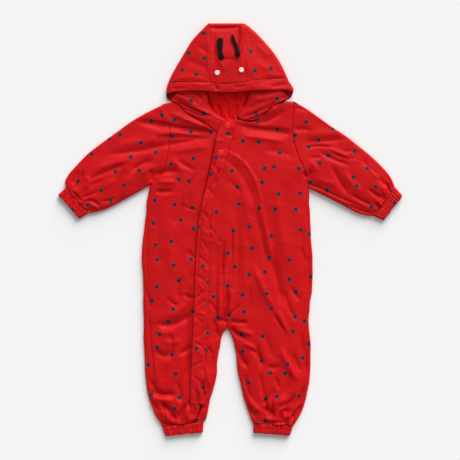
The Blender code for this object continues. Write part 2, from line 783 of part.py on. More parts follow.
def hood_back(collection):
    """Lower layer of the hood, flat on the surface from the nape to the top."""
    corner = HOOD_OUTLINE[2][0]

    def place(row, share):
        first = read(HOOD_OUTLINE, "right", row)
        last = read(HOOD_OUTLINE, "left", row)
        x = first + (last - first) * share
        nape = max(read(NECK_BACK, "y", x), NAPE_MIDDLE) + NAPE_GAP
        y = row + (nape - NAPE_LEVEL) * max(0.0, 1.0 - (row - NAPE_LEVEL) / NAPE_EASE)
        inset = hood_inset(x, max(y, corner))
        radius = HOOD_RADIUS - HOOD_GAP
        return x, y, radius - rounded(inset, radius)

    top = [HOOD_TOP - HOOD_RADIUS * value for value in ARC_SHARES]
    rows = sorted(levels(NAPE_LEVEL, HOOD_SHOULDER, 22.0, (NAPE_LEVEL,)) + top)
    columns = spread(HOOD_WIDTH, 22.0, True, True, HOOD_RADIUS)
    sheet("hood_back", rows, columns, place, WALL, SHELL_RED, collection, face_down=True)


def hood_brim(collection):
    """Stitched band along the forehead edge of the hood, a little proud of the panels."""
    def place(row, share):
        x = BRIM[1][0] + (BRIM[-1][0] - BRIM[1][0]) * share
        edge = read(BRIM, "edge", x)
        y = edge + (read(BRIM, "seam", x) - GAP - edge) * row
        first = read(HOOD_OUTLINE, "right", y)
        x = first + (read(HOOD_OUTLINE, "left", y) - first) * share
        inset = hood_inset(x, y)
        return x, y, hood_height(x, y) + BRIM_PROUD * smooth(inset / EDGE_FADE)

    columns = spread(HOOD_WIDTH, 14.0, True, True, HOOD_RADIUS)
    sheet("hood_brim", [0.0, 0.25, 0.75, 1.0], columns, place, WALL, SHELL_RED, collection)


def hood_front(collection):
    """Band and facing on both sides of the ridge that runs from the hood's corner to the neck."""
    for side, table in (("right", HOOD_FRONT_RIGHT), ("left", HOOD_FRONT_LEFT)):
        last = len(table) - 2
        rows = [last * index / 12 for index in range(13)]
        right = side == "right"

        def band(row, share, table=table):
            ring = row_at(table, row)
            share = BAND_START + (1.0 - BAND_START) * share
            x = ring["out_x"] + (ring["edge_x"] - ring["out_x"]) * share
            y = ring["out_y"] + (ring["edge_y"] - GAP - ring["out_y"]) * share
            rise = (ring["ridge"] - BAND_FOOT) * math.sin(share * math.pi / 2.0)
            return x, y, BAND_FOOT + rise

        def facing(row, share, table=table):
            ring = row_at(table, row)
            x = ring["edge_x"] + (ring["in_x"] - ring["edge_x"]) * share
            y = ring["edge_y"] + GAP + (ring["in_y"] - GAP - ring["edge_y"]) * share
            fall = (ring["ridge"] - FACING_FOOT) * math.cos(share * math.pi / 2.0)
            return x, y, FACING_FOOT + fall

        sheet("hood_band_" + side, rows, [0.0, 0.35, 0.7, 1.0], band, THIN_WALL, SHELL_RED,
              collection, face_down=not right)
        sheet("hood_facing_" + side, rows, [0.0, 0.25, 0.5, 0.75, 1.0], facing, THIN_WALL,
              SHELL_RED, collection, face_down=not right)


def hood_lining(collection):
    """Plain lining inside the hood, from the neck up past the brim, gathered at the nape."""
    def place(row, share):
        first = read(HOOD_LINING, "right", row)
        last = read(HOOD_LINING, "left", row)
        x = first + (last - first) * share
        wave = math.cos(share * 6.0 * math.pi) * smooth((GATHER_TOP - row) / GATHER_FADE)
        return x, row, WALL + GAP + THIN_WALL + LINING_LIFT + LINING_GATHER * wave

    first = HOOD_LINING[1][0]
    last = HOOD_LINING[-1][0]
    sheet("hood_lining", levels(first, last, 15.0, (first, last)),
          [index / 12 for index in range(13)], place, THIN_WALL, LINING_RED, collection)


def feelers(collection):
    """Two black felt feelers on the centre panel, their ends free."""
    table = (
        ("name", "tip_x", "tip_y", "tip_width", "root_x", "root_y", "root_width"),
        ("feeler_right", -19.6, 362.4, 13.0, -16.6, 321.0, 11.0),
        ("feeler_left", 3.0, 367.0, 7.0, 12.6, 326.0, 8.6),
    )
    for name, tip_x, tip_y, tip_width, root_x, root_y, root_width in table[1:]:
        def place(row, share, root=(root_x, root_y, root_width), tip=(tip_x, tip_y, tip_width)):
            half = (root[2] + (tip[2] - root[2]) * row) * 0.5
            x = root[0] + (tip[0] - root[0]) * row + (share * 2.0 - 1.0) * half
            y = root[1] + (tip[1] - root[1]) * row
            arch = FEELER_ARCH * (1.0 - (share * 2.0 - 1.0) ** 2)
            return x, y, hood_height(x, y) + GAP + FEELER_THICK + arch

        sheet(name, [index / 5 for index in range(6)], [0.0, 0.25, 0.5, 0.75, 1.0], place,
              FEELER_THICK - 0.2, FELT_BLACK, collection)


def round_piece(name, x, y, bottom, radius, thick, finish, collection):
    """A small disc with a softened upper rim."""
    bm = bmesh.new()
    bmesh.ops.create_cone(bm, cap_ends=True, segments=18, radius1=radius * MM, radius2=radius * MM,
                          depth=thick * MM)
    item = add_object(name, bm, finish, collection)
    item.location = (x * MM, y * MM, (bottom + thick * 0.5) * MM)
    bevel = item.modifiers.new("Rim", "BEVEL")
    bevel.width = thick * RIM_SHARE * MM
    bevel.segments = 1
    return item


def small_pieces(collection):
    """Pale felt discs on the hood and two snap caps on the closure flap."""
    for name, x, y in (("disc_right", -24.8, 296.0), ("disc_left", 20.8, 301.4)):
        bottom = hood_height(x, y) + REST_GAP
        round_piece(name, x, y, bottom, DISC_RADIUS, DISC_THICK, FELT_PALE, collection)
    for name, x, y in (("snap_upper", -5.2, 197.6), ("snap_lower", -18.3, 145.5)):
        inset = body_inset(x, y, "right", False)
        bottom = front_height(x, y, inset) + LAP_LIFT + SIDE_GAP + REST_GAP
        round_piece(name, x, y, bottom, SNAP_RADIUS, SNAP_THICK, SNAP_RED, collection)


def build():
    clear_scene()
    collection = bpy.data.collections.new("puddle_suit")
    bpy.context.scene.collection.children.link(collection)
    back_panels(collection)
    front_right(collection)
    front_left(collection)
    inner_leg_right(collection)
    closure_flap(collection)
    sleeves(collection)
    casings(collection)
    hood_back(collection)
    hood_panels(collection)
    hood_brim(collection)
    hood_front(collection)
    hood_lining(collection)
    feelers(collection)
    small_pieces(collection)


build()
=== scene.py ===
"""Looks of a baby's hooded puddle suit, laid flat with its front up.

The suit is red satin-finished cloth with scattered dots. Each panel is a thin sheet on the form of
its solid, with creases raised along the bent lines of its table. Tables and sizes are in
millimetres, +Y towards the hood and +X towards the wearer's left; MM turns them into metres.
"""

import math

import bmesh
import bpy
import numpy as np
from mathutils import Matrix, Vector


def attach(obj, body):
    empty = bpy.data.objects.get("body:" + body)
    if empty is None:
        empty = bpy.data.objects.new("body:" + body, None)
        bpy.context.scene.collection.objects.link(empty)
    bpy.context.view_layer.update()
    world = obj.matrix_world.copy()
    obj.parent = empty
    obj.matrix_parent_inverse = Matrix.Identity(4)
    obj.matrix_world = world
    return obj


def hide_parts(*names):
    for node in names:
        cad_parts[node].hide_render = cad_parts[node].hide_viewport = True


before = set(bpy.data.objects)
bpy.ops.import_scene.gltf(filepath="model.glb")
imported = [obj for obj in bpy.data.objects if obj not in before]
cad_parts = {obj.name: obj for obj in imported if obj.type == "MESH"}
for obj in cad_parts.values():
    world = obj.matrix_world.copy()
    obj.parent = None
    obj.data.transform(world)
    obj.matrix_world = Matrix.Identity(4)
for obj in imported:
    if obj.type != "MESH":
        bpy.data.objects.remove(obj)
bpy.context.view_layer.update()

MM = 0.001

# Cloth and its edges
CLOTH_WALL = 1.1          # shell and lining as they look at an edge
EDGE_RADIUS = 4.0
SIDE_GAP = 0.3
DOME_RISE = 0.8
DOME_REACH = 45.0
FOLD_FADE = 8.0           # creases grow to their full height this far in from an outline
LOWEST_FRONT = 3.4
LAP_LIFT = 3.4            # what lies on the underlap is this much higher
LAP_CLEAR = 6.0
LAP_FALL = 16.0
EDGE_FADE = 12.0          # the lift grows to its full height this far in from an outline
SEAM_DIP = 0.75           # a panel's edge turns down into its seam
SEAM_ROUND = 1.8
BELLY_RISE = 2.6          # air under the folds of the body, below the hood
BELLY_TOP = (168.0, 60.0)
BELLY_FADE = 34.0
TOP_BLEND = 150.0
TOP_ROW = 245.0
BOTTOM_BLEND = -330.0
BOTTOM_ROW = -370.0
CROTCH = (-6.0, -187.5)
RIPPLE = 1.1              # outlines of body and legs
RIPPLE_CELL = 17.0
RIPPLE_FADE = 26.0
SIDE_RIPPLE_END = -372.0
LEG_RIPPLE_END = -362.0
UNDERARM = {"right": (-152.3, 86.0), "left": (149.4, 80.0)}
RISE_TOP = 8.0
RISE_EASE = 80.0          # the centre back swings to the crotch over this height
SHOULDER_OUT = 90.0       # the shoulder line lies further out than this
FLAP_END = -331.0
FLAP_TOP = 208.6
MESH_STEP = 2.0
FINE_STEP = 1.4

HOOD_RADIUS = 6.0
HOOD_GAP = 0.5
HOOD_CROWN = 8.5
HOOD_CROWN_REACH = 70.0
HOOD_TOP = 392.2
NAPE_LEVEL = 244.0
NAPE_MIDDLE = 225.5
NAPE_EASE = 40.0
SLOPE_STEP = 6.0          # half the run over which the hood outline's slope is taken
BAND_FOOT = 10.2          # height of the hood's front cloth at the neck seam, and of its facing
FACING_FOOT = 8.2
FACING_RISE = 7.0         # the facing's inner edge is this much higher above the neck
HOOD_LOW = 278.0
HOOD_HIGH = 390.6

CASING_HEIGHT = 8.2
CASING_RIB = 1.7
GATHER_REACH = 15.0       # gathers fade out this far from a casing
ANKLE_GATHER = 2.6
WRIST_GATHER = 2.4
CASING_TURN = 0.2         # a casing's ring runs 1 over its top, this round each side and 1 below
CUFF_STEP = 16.0          # between a sleeve's sections, near its cuff and near its armhole
ARMHOLE_STEP = 26.0

THREAD = 0.42
STITCH_PITCH = 3.0
STITCH_LENGTH = 2.2
STITCH_LIFT = 0.12        # the middle of a stitch lies this far above its cloth

# Shape of a crease: shares of its length that fade in and out, and how its sides fall away
CREASE_ENDS = 0.32
CREASE_REACH = 3.5
CREASE_FALL = 1.1
CREASE_POWER = 1.7

# Finishes, as linear colours
SHELL = (0.575, 0.0062, 0.0085)
SHELL_DEEP = (0.47, 0.0040, 0.0058)
DOT = (0.011, 0.033, 0.052)
LINING = (0.72, 0.0065, 0.0055)
FELT_BLACK = (0.005, 0.004, 0.0036)
FELT_PALE = (0.82, 0.60, 0.60)
THREAD_RED = (0.50, 0.010, 0.014)
THREAD_DARK = (0.045, 0.030, 0.050)
SNAP = (0.82, 0.012, 0.011)
DOT_CELL = 40.0
DOT_RADIUS = 4.3
FLOOR = 0.90

# Light and camera: degrees, metres and millimetres of lens
SUN_FROM = (0.34, 1.00, 0.55)
SUN_SPREAD = 46.0
SUN_POWER = 4.15
SKY = 0.40
CAMERA_LENS = 85.0
CAMERA_HEIGHT = 2.072
CAMERA_CENTRE = (-0.0007, -0.0008)

SIDES = (
    ("y", "right", "left"),
    (86, -152.6, 149.4),
    (60, -158.0, 150.3),
    (20, -162.0, 151.6),
    (-10, -165.0, 153.6),
    (-55, -167.8, 156.9),
    (-110, -166.6, 155.0),
    (-170, -165.2, 149.4),
    (-195, -164.6, 150.6),
    (-225, -163.9, 152.8),
    (-265, -162.0, 152.3),
    (-300, -158.4, 149.0),
    (-325, -153.6, 142.6),
    (-350, -144.0, 134.2),
    (-372, -130.5, 121.0),
)
ARMHOLES = (
    ("y", "right", "left"),
    (86, -152.0, 148.3),
    (100, -137.5, 144.9),
    (117, -124.6, 138.6),
    (142, -119.0, 127.4),
    (168, -115.8, 120.4),
    (182, -115.0, 118.6),
    (197, -116.0, 118.0),
    (212, -121.4, 118.1),
    (227, -126.6, 118.6),
    (245, -132.6, 121.0),
)
INSEAMS = (
    ("y", "right", "left"),
    (-187.5, -6.0, -6.0),
    (-200, -15.6, 1.6),
    (-222, -20.4, 8.2),
    (-245, -23.4, 12.0),
    (-272, -25.4, 14.8),
    (-298, -31.0, 20.2),
    (-326, -38.2, 28.0),
    (-350, -43.4, 36.0),
    (-372, -50.6, 44.0),
)
# Closure: the flap's free edge and how far it stands off, its stitching, and the underlap's edge
CLOSURE = (
    ("y", "flap", "stitch", "underlap", "lift"),
    (209, -14.5, 14.5, 24, 0.6),
    (176, -26.3, 3.6, 18, 3.6),
    (145, -31.4, -5.2, 12, 4.4),
    (109, -38.4, -14.2, 4, 7.0),
    (81, -45.4, -24.6, -5, 7.4),
    (46, -53.4, -33.6, -12, 6.0),
    (15, -59.4, -38.4, -13, 3.4),
    (-40, -64.0, -40.2, -16, 2.0),
    (-92, -66.2, -40.8, -19, 3.2),
    (-145, -68.6, -42.4, -23, 2.0),
    (-187, -70.6, -44.8, -31, 2.2),
    (-215, -72.0, -46.4, -39, 2.8),
    (-280, -74.6, -49.4, -47, 1.6),
    (-331, -75.8, -53.0, -56, 0.0),
    (-372, -76.4, -66.0, -70, 0.0),
)
RISE = (
    ("y", "seam"),
    (8, -38.9),
    (-2, -32.6),
    (-17, -22.6),
    (-48, -15.4),
    (-92, -12.7),
    (-134, -12.6),
    (-168, -10.2),
    (-187.5, -6.0),
)
NECK_FRONT_RIGHT = (
    ("x", "y"),
    (-133, 237.6),
    (-115, 241.6),
    (-98.5, 244.0),
    (-93.5, 233.0),
    (-86.0, 222.0),
    (-54.8, 205.4),
    (-34.3, 190.6),
    (-24.0, 185.0),
    (24.0, 185.0),
)
NECK_FRONT_LEFT = (
    ("x", "y"),
    (14.5, 208.6),
    (26.0, 205.4),
    (37.5, 203.6),
    (58.2, 211.8),
    (74.6, 226.2),
    (88.0, 242.0),
    (121.0, 244.0),
)
NECK_BACK = (
    ("x", "y"),
    (-133, 237.6),
    (-98.0, 244.6),
    (-82.0, 236.0),
    (-45.0, 228.0),
    (0.0, 225.5),
    (45.0, 228.0),
    (76.0, 236.0),
    (90.0, 243.4),
    (121.0, 244.0),
)
ANKLES = {
    "right": (("x", "y"), (-130.5, -374.6), (-50.6, -364.6)),
    "left": (("x", "y"), (44.0, -367.2), (121.0, -372.0)),
}

# Sleeves: the two outlines and how much of the armhole's curve each ring keeps
SLEEVES = {
    "right": (
        ("upper_x", "upper_y", "lower_x", "lower_y", "keep"),
        (-133.2, 237.0, -153.0, 85.4, 1.0),
        (-158.0, 224.4, -166.0, 77.6, 0.66),
        (-186.5, 207.8, -180.0, 69.4, 0.4),
        (-217.5, 185.2, -195.5, 60.6, 0.2),
        (-246.0, 164.2, -211.5, 51.8, 0.08),
        (-271.0, 144.6, -228.0, 43.2, 0.0),
        (-294.0, 121.0, -245.0, 36.0, 0.0),
        (-308.6, 104.0, -257.0, 33.0, 0.0),
        (-315.0, 90.0, -265.0, 31.6, 0.0),
        (-313.2, 82.0, -270.0, 31.8, 0.0),
    ),
    "left": (
        ("upper_x", "upper_y", "lower_x", "lower_y", "keep"),
        (121.6, 244.2, 150.0, 79.2, 1.0),
        (146.0, 229.4, 165.0, 71.4, 0.66),
        (170.6, 212.2, 180.0, 63.8, 0.4),
        (195.0, 194.4, 196.0, 55.6, 0.2),
        (219.0, 178.8, 213.0, 46.8, 0.08),
        (244.0, 159.2, 230.0, 37.4, 0.0),
        (268.0, 139.4, 244.0, 30.6, 0.0),
        (290.0, 118.2, 257.0, 27.2, 0.0),
        (305.0, 99.8, 267.0, 26.0, 0.0),
        (312.6, 82.6, 274.2, 26.0, 0.0),
    ),
}
# Elasticated casings: corners at the seam and at the open end, and gathers
CASINGS = (
    ("name", "seam_a", "seam_b", "open_a", "open_b", "gathers"),
    ("wrist_casing_right", (-313.0, 80.4), (-270.6, 31.0), (-327.7, 66.6), (-287.6, 20.4), 12),
    ("wrist_casing_left", (274.6, 25.0), (313.2, 81.2), (291.2, 17.2), (327.7, 64.6), 12),
    ("ankle_casing_right", (-129.6, -375.2), (-50.8, -365.2), (-124.0, -392.2), (-52.2, -386.0), 9),
    ("ankle_casing_left", (44.0, -367.8), (119.6, -372.6), (43.6, -386.0), (113.6, -392.2), 9),
)

HOOD_OUTLINE = (
    ("y", "right", "left"),
    (243, -109.0, 100.0),
    (254, -122.0, 117.6),
    (266, -121.6, 120.2),
    (281, -117.4, 112.0),
    (306, -105.2, 100.6),
    (330, -91.0, 87.0),
    (357, -74.6, 65.0),
    (372, -62.0, 51.2),
    (386, -48.0, 35.0),
    (392.2, -42.0, 26.0),
)
HOOD_SEAMS = (
    ("y", "right", "left"),
    (260, -39.4, 42.0),
    (284, -39.4, 39.0),
    (315, -39.2, 35.0),
    (342, -39.2, 31.4),
    (365, -39.6, 27.6),
    (392.2, -41.0, 24.4),
)
BRIM = (
    ("x", "edge", "seam"),
    (-121.5, 257.6, 279.6),
    (-101.4, 261.4, 280.2),
    (-70.2, 262.8, 279.8),
    (-39.4, 260.8, 278.8),
    (-20.8, 259.4, 275.6),
    (1.8, 259.4, 276.4),
    (32.8, 262.2, 280.2),
    (74.0, 264.2, 285.0),
    (100.0, 265.0, 286.6),
    (119.6, 262.0, 287.6),
)
# Front edge of the hood from its corner to the neck: band outside, facing inside
HOOD_FRONT = {
    "right": (
        ("edge_x", "edge_y", "out_x", "out_y", "in_x", "in_y", "ridge"),
        (-113.0, 247.6, -100.6, 246.0, -92.0, 268.0, 9.2),
        (-96.0, 238.6, -93.0, 234.0, -70.0, 266.0, 11.4),
        (-80.7, 232.6, -85.2, 222.8, -52.0, 264.0, 13.4),
        (-64.0, 225.6, -69.0, 213.8, -43.5, 256.0, 14.5),
        (-49.7, 219.0, -54.2, 206.4, -41.5, 240.0, 14.6),
        (-36.0, 213.2, -43.0, 198.5, -35.0, 228.0, 13.2),
        (-25.0, 209.2, -33.6, 191.8, -26.0, 219.5, 12.0),
        (-17.6, 207.0, -27.0, 187.0, -17.0, 214.0, 11.6),
        (-12.0, 204.0, -20.0, 183.0, -10.0, 210.0, 9.6),
    ),
    "left": (
        ("edge_x", "edge_y", "out_x", "out_y", "in_x", "in_y", "ridge"),
        (111.0, 252.0, 94.0, 246.4, 90.0, 270.0, 9.2),
        (100.8, 246.0, 88.0, 242.8, 68.0, 268.0, 11.0),
        (80.1, 237.6, 74.0, 227.4, 50.0, 266.0, 13.2),
        (63.7, 231.0, 58.0, 212.9, 40.0, 262.0, 14.4),
        (47.0, 225.2, 49.0, 210.0, 32.6, 249.0, 13.4),
        (32.0, 219.6, 37.5, 207.5, 29.0, 238.0, 12.4),
        (21.6, 213.8, 26.0, 207.5, 21.0, 226.0, 11.6),
        (16.6, 211.2, 17.5, 208.6, 13.5, 213.5, 11.0),
    ),
}
HOOD_LINING = (
    ("y", "right", "left"),
    (212, -15, 13),
    (221, -27, 22),
    (232, -40, 32),
    (244, -56, 40),
    (258, -76, 52),
    (276, -84, 62),
    (300, -74, 60),
)

# Creases: ridges (rise above 0) and troughs along bent lines. A lean above 0 widens the side on the
# left of the line's travel, and one below 0 the side on its right.
BODY_CREASES = (
    ("x0", "y0", "x_bend", "y_bend", "x1", "y1", "half_width", "rise", "lean"),
    # chest, under the hood's bands
    (-122, 225, -77, 206, -23, 186, 4.5, 3.5, 0.0),
    (-175, 210, -100, 195, -29, 186, 6.5, -5.5, -0.45),
    (-153, 178, -88, 176, -31, 172, 4.5, -2.3, 0.0),
    (-103, 197, -73, 186, -35, 192, 4.5, -3.2, 0.0),
    (-153, 178, -96, 184, -35, 182, 6.0, 2.9, 0.0),
    (13, 208, 51, 213, 100, 240, 4.5, 3.5, 0.0),
    (7, 201, 60, 191, 125, 187, 7.0, -5.2, -0.45),
    (49, 201, 79, 210, 106, 231, 4.5, -4.0, 0.2),
    (75, 189, 102, 184, 121, 178, 4.0, -2.3, 0.0),
    (18, 178, 60, 174, 113, 165, 6.5, 2.9, 0.0),
    (-52, 201, -42, 193, -33, 186, 2.5, 3.2, 0.0),
    # chest and body, wearer's right
    (-172, 153, -99, 164, -31, 176, 5.5, -3.2, 0.2),
    (-118, 147, -77, 153, -33, 159, 6.5, 1.9, 0.0),
    (-101, 134, -84, 121, -63, 111, 4.0, -2.6, 0.0),
    (-149, 96, -126, 109, -96, 109, 6.0, -6.0, 0.2),
    (-145, 73, -126, 72, -107, 75, 4.0, -5.0, 0.0),
    (-141, 89, -122, 90, -99, 90, 5.0, 2.9, 0.0),
    (-115, 136, -103, 125, -88, 106, 5.5, 2.4, 0.0),
    (-90, 70, -94, 41, -109, 3, 3.0, -3.8, 0.2),
    (-27, 174, -37, 109, -54, 39, 4.5, -6.4, 0.0),
    (-52, 45, -61, -39, -67, -134, 4.0, -3.2, 0.0),
    (-46, 113, -65, 85, -80, 56, 5.5, 1.9, 0.0),
    (-65, 102, -80, 79, -84, 49, 4.0, -2.3, 0.0),
    (-101, 48, -82, 41, -60, 35, 2.5, -1.6, 0.2),
    (-111, 28, -115, -39, -103, -105, 8.5, 2.1, 0.0),
    (-75, -54, -80, -134, -84, -312, 6.5, -3.5, 0.0),
    (-134, 47, -137, -20, -130, -86, 7.0, -1.5, 0.0),
    (-82, -39, -73, -50, -63, -54, 3.0, -2.3, 0.0),
    (-88, -88, -99, -105, -98, -136, 3.0, -3.5, 0.3),
    (-77, -92, -79, -115, -88, -141, 5.0, 2.2, 0.0),
    (-120, -126, -111, -139, -96, -145, 3.0, -2.6, 0.0),
    (-90, -120, -80, -128, -65, -130, 4.0, -3.8, 0.0),
    (-147, -174, -111, -181, -65, -155, 6.0, -6.0, 0.2),
    (-126, -164, -103, -157, -77, -134, 7.0, 2.6, 0.0),
    (-166, -103, -156, -130, -149, -157, 3.5, -2.9, 0.0),
    (-149, -191, -124, -196, -96, -193, 5.5, 1.6, 0.0),
    # right leg
    (-153, -278, -145, -301, -122, -320, 4.0, -3.9, 0.2),
    (-164, -312, -149, -328, -137, -350, 3.0, -5.2, 0.2),
    (-103, -286, -96, -309, -94, -331, 4.5, -3.2, 0.0),
    (-113, -333, -111, -347, -109, -364, 2.5, -4.2, 0.0),
    (-130, -324, -124, -343, -124, -362, 2.5, -3.6, 0.0),
    (-69, -297, -63, -316, -65, -339, 3.5, -3.6, 0.0),
    (-84, -320, -77, -339, -79, -362, 3.0, -4.2, 0.0),
    (-41, -286, -44, -309, -56, -328, 3.0, -3.6, 0.2),
    (-118, -191, -111, -219, -115, -252, 4.5, -2.9, 0.0),
    (-145, -223, -126, -240, -109, -227, 6.5, -4.2, 0.0),
    (-101, -236, -86, -231, -71, -217, 5.0, -3.9, 0.0),
    (-130, -210, -111, -215, -88, -208, 5.5, 2.2, 0.0),
    (-145, -244, -141, -271, -141, -297, 4.5, 2.2, 0.0),
    (-120, -255, -126, -274, -132, -291, 3.0, -2.4, 0.0),
    (-79, -233, -80, -259, -88, -284, 4.0, -3.6, 0.2),
    (-156, -303, -136, -313, -98, -312, 5.0, -6.2, 0.2),
    (-153, -328, -134, -322, -103, -328, 5.5, 2.9, 0.0),
    (-137, -328, -118, -343, -101, -369, 3.5, -6.8, 0.2),
    (-77, -328, -90, -343, -101, -369, 3.5, -6.8, -0.2),
    (-134, -343, -122, -354, -113, -366, 5.0, 3.2, 0.0),
    (-99, -320, -99, -331, -101, -350, 4.5, 2.9, 0.0),
    (-82, -362, -82, -347, -77, -335, 5.5, 3.6, 0.0),
    (-136, -364, -115, -371, -96, -369, 3.5, -4.9, 0.0),
    (-90, -367, -69, -366, -48, -358, 3.5, -4.9, 0.0),
    (-52, -331, -56, -345, -60, -364, 4.5, -5.5, 0.0),
    (-65, -333, -69, -345, -71, -360, 3.0, -3.6, 0.0),
    (-44, -316, -48, -331, -52, -347, 3.5, -3.6, 0.0),
    (-54, -282, -52, -301, -48, -322, 3.0, -3.9, 0.0),
    (-41, -233, -33, -252, -35, -274, 4.0, -2.6, 0.0),
    (-48, -252, -42, -282, -41, -309, 4.0, 2.3, 0.0),
    (-46, -221, -39, -229, -35, -240, 3.0, -2.9, 0.0),
    # side and underarm seams, rolled a little to the front
    (-156, 83, -159, -20, -157, -141, 1.8, -1.9, 0.0),
    (-157, -126, -151, -219, -139, -320, 1.8, -2.2, 0.0),
    (144, 79, 148, -20, 148, -141, 1.8, -1.9, 0.0),
    (148, -126, 146, -219, 134, -320, 1.8, -2.2, 0.0),
    (-261, 39, -206, 50, -160, 81, 1.8, -2.3, 0.0),
    (153, 88, 208, 61, 265, 37, 1.8, -2.3, 0.0),
    # crotch and rise
    (-7, -103, -8, -134, -14, -183, 4.0, -6.8, 0.3),
    (-20, -111, -20, -145, -23, -179, 4.0, 3.5, 0.0),
    (1, -107, 1, -138, -3, -168, 5.0, 2.6, 0.0),
    (-27, -176, -16, -172, -4, -177, 3.5, -4.6, 0.0),
    (-3, -174, 15, -176, 37, -177, 4.0, -4.4, 0.0),
    (-3, -183, 13, -198, 34, -208, 4.5, -6.1, 0.0),
    (3, -191, 22, -193, 49, -202, 4.5, 2.6, 0.0),
    (-12, -170, 3, -158, 22, -138, 2.5, -3.2, 0.0),
    (-33, -189, -25, -195, -22, -210, 3.5, -3.2, 0.0),
    (-37, -134, -33, -145, -25, -157, 3.0, -2.6, 0.0),
    (-25, -20, -27, -115, -33, -271, 4.5, -2.9, 0.0),
    (-35, -168, -31, -176, -27, -191, 3.0, -2.6, 0.0),
    # body, wearer's left
    (-20, 151, 36, 115, 62, 30, 4.2, 2.8, -0.45),
    (-31, 142, 22, 102, 49, 26, 5.0, -1.7, 0.0),
    (54, 64, 70, -8, 85, -84, 5.0, 3.5, -0.45),
    (43, 60, 58, -12, 73, -81, 5.0, -1.9, 0.0),
    (72, -35, 87, -92, 100, -157, 7.0, -5.5, 0.3),
    (85, 94, 94, 9, 110, -77, 12.0, 3.2, 0.0),
    (18, 102, 34, 28, 49, -39, 9.5, 2.6, 0.0),
    (102, -111, 113, -153, 132, -172, 5.0, -2.9, 0.0),
    (41, -62, 64, -115, 87, -157, 6.5, 3.2, 0.0),
    (113, -107, 121, -119, 132, -138, 4.0, -2.9, 0.0),
    (77, -157, 89, -172, 104, -198, 2.5, -3.5, 0.0),
    (87, -149, 100, -176, 113, -202, 5.0, 2.9, 0.0),
    (-4, 14, 3, -12, 1, -62, 3.0, -2.3, 0.0),
    (-15, -12, -14, -54, -18, -115, 3.0, -3.8, 0.2),
    (15, 33, 15, -39, 11, -134, 4.0, -2.2, 0.0),
    (5, 26, 8, -39, 6, -88, 4.0, 1.9, 0.0),
    (26, -1, 28, -62, 24, -134, 6.0, 1.6, 0.0),
    (-4, 98, 11, 79, 24, 71, 3.0, -1.7, 0.0),
    (34, -107, 37, -134, 30, -164, 3.5, -1.9, 0.0),
    (138, 28, 136, -39, 144, -105, 5.0, -1.7, 0.0),
    (129, -29, 138, -46, 149, -73, 4.0, -2.0, 0.0),
    (60, 151, 94, 147, 125, 136, 7.0, -1.7, 0.0),
    (37, 47, 41, 14, 41, -20, 5.0, -1.5, 0.0),
    # left leg
    (24, -314, 35, -339, 37, -358, 3.0, -4.9, 0.2),
    (64, -309, 68, -333, 72, -362, 3.0, -4.5, 0.0),
    (79, -320, 79, -339, 77, -364, 2.5, -3.9, 0.0),
    (125, -309, 113, -331, 100, -347, 3.5, -4.5, -0.2),
    (53, -271, 60, -297, 60, -320, 4.0, -3.2, 0.0),
    (41, -210, 53, -233, 60, -271, 5.0, -3.6, 0.2),
    (113, -259, 110, -293, 94, -320, 4.5, -3.6, 0.0),
    (140, -297, 134, -316, 125, -335, 3.0, -3.9, 0.0),
    (87, -297, 75, -316, 60, -335, 3.5, -3.2, 0.0),
    (7, -223, 20, -246, 37, -265, 5.0, -6.8, 0.2),
    (32, -223, 51, -238, 62, -261, 4.0, -3.9, 0.2),
    (18, -217, 37, -221, 53, -233, 5.0, 3.2, 0.0),
    (24, -271, 32, -301, 41, -324, 4.0, -2.4, 0.0),
    (11, -259, 18, -290, 32, -316, 5.0, 3.2, 0.0),
    (15, -309, 26, -331, 51, -360, 4.0, -6.8, 0.2),
    (30, -316, 41, -331, 60, -350, 5.0, 3.9, 0.0),
    (60, -191, 72, -219, 83, -252, 7.0, -2.4, 0.0),
    (72, -255, 81, -263, 94, -255, 4.5, -2.9, 0.0),
    (83, -278, 89, -290, 92, -305, 3.0, -3.2, 0.0),
    (96, -217, 108, -255, 132, -290, 6.0, 4.7, 0.0),
    (132, -191, 138, -233, 146, -286, 7.5, -4.5, 0.2),
    (119, -233, 125, -252, 136, -274, 5.0, -2.9, 0.0),
    (58, -341, 72, -343, 87, -360, 3.5, -5.5, 0.0),
    (72, -358, 79, -348, 89, -343, 3.0, -3.2, 0.0),
    (117, -343, 98, -348, 98, -369, 3.5, -6.8, 0.2),
    (102, -360, 110, -354, 113, -360, 4.0, 3.6, 0.0),
    (136, -331, 125, -347, 111, -364, 4.0, -5.8, 0.2),
    (49, -362, 75, -367, 113, -364, 3.0, -5.2, 0.0),
    (64, -328, 87, -328, 113, -316, 6.0, 2.2, 0.0),
    (87, -337, 102, -333, 121, -322, 3.5, -2.3, 0.0),
    # right sleeve
    (-134, 237, -126, 220, -120, 201, 4.0, 2.7, 0.0),
    (-183, 208, -157, 201, -118, 193, 5.0, -3.2, 0.2),
    (-246, 140, -198, 146, -118, 158, 5.5, -3.4, 0.2),
    (-225, 159, -183, 165, -122, 174, 7.5, 1.9, 0.0),
    (-270, 94, -232, 111, -194, 125, 4.0, -3.6, 0.2),
    (-263, 111, -225, 125, -183, 134, 5.5, 2.1, 0.0),
    (-189, 106, -172, 122, -143, 132, 5.0, -4.3, 0.2),
    (-172, 102, -156, 113, -141, 121, 5.0, 2.1, 0.0),
    (-196, 121, -212, 90, -223, 54, 4.5, -2.9, 0.2),
    (-183, 109, -198, 83, -206, 56, 6.0, 1.9, 0.0),
    (-155, 117, -149, 104, -149, 87, 5.0, -4.8, 0.0),
    (-280, 117, -286, 94, -301, 71, 3.5, -4.3, 0.3),
    (-301, 75, -293, 64, -282, 54, 3.0, -4.3, 0.0),
    (-289, 113, -293, 98, -301, 83, 5.0, -2.5, 0.0),
    (-278, 102, -270, 90, -278, 75, 5.5, 2.5, 0.0),
    (-284, 62, -267, 65, -248, 75, 3.0, -2.5, 0.0),
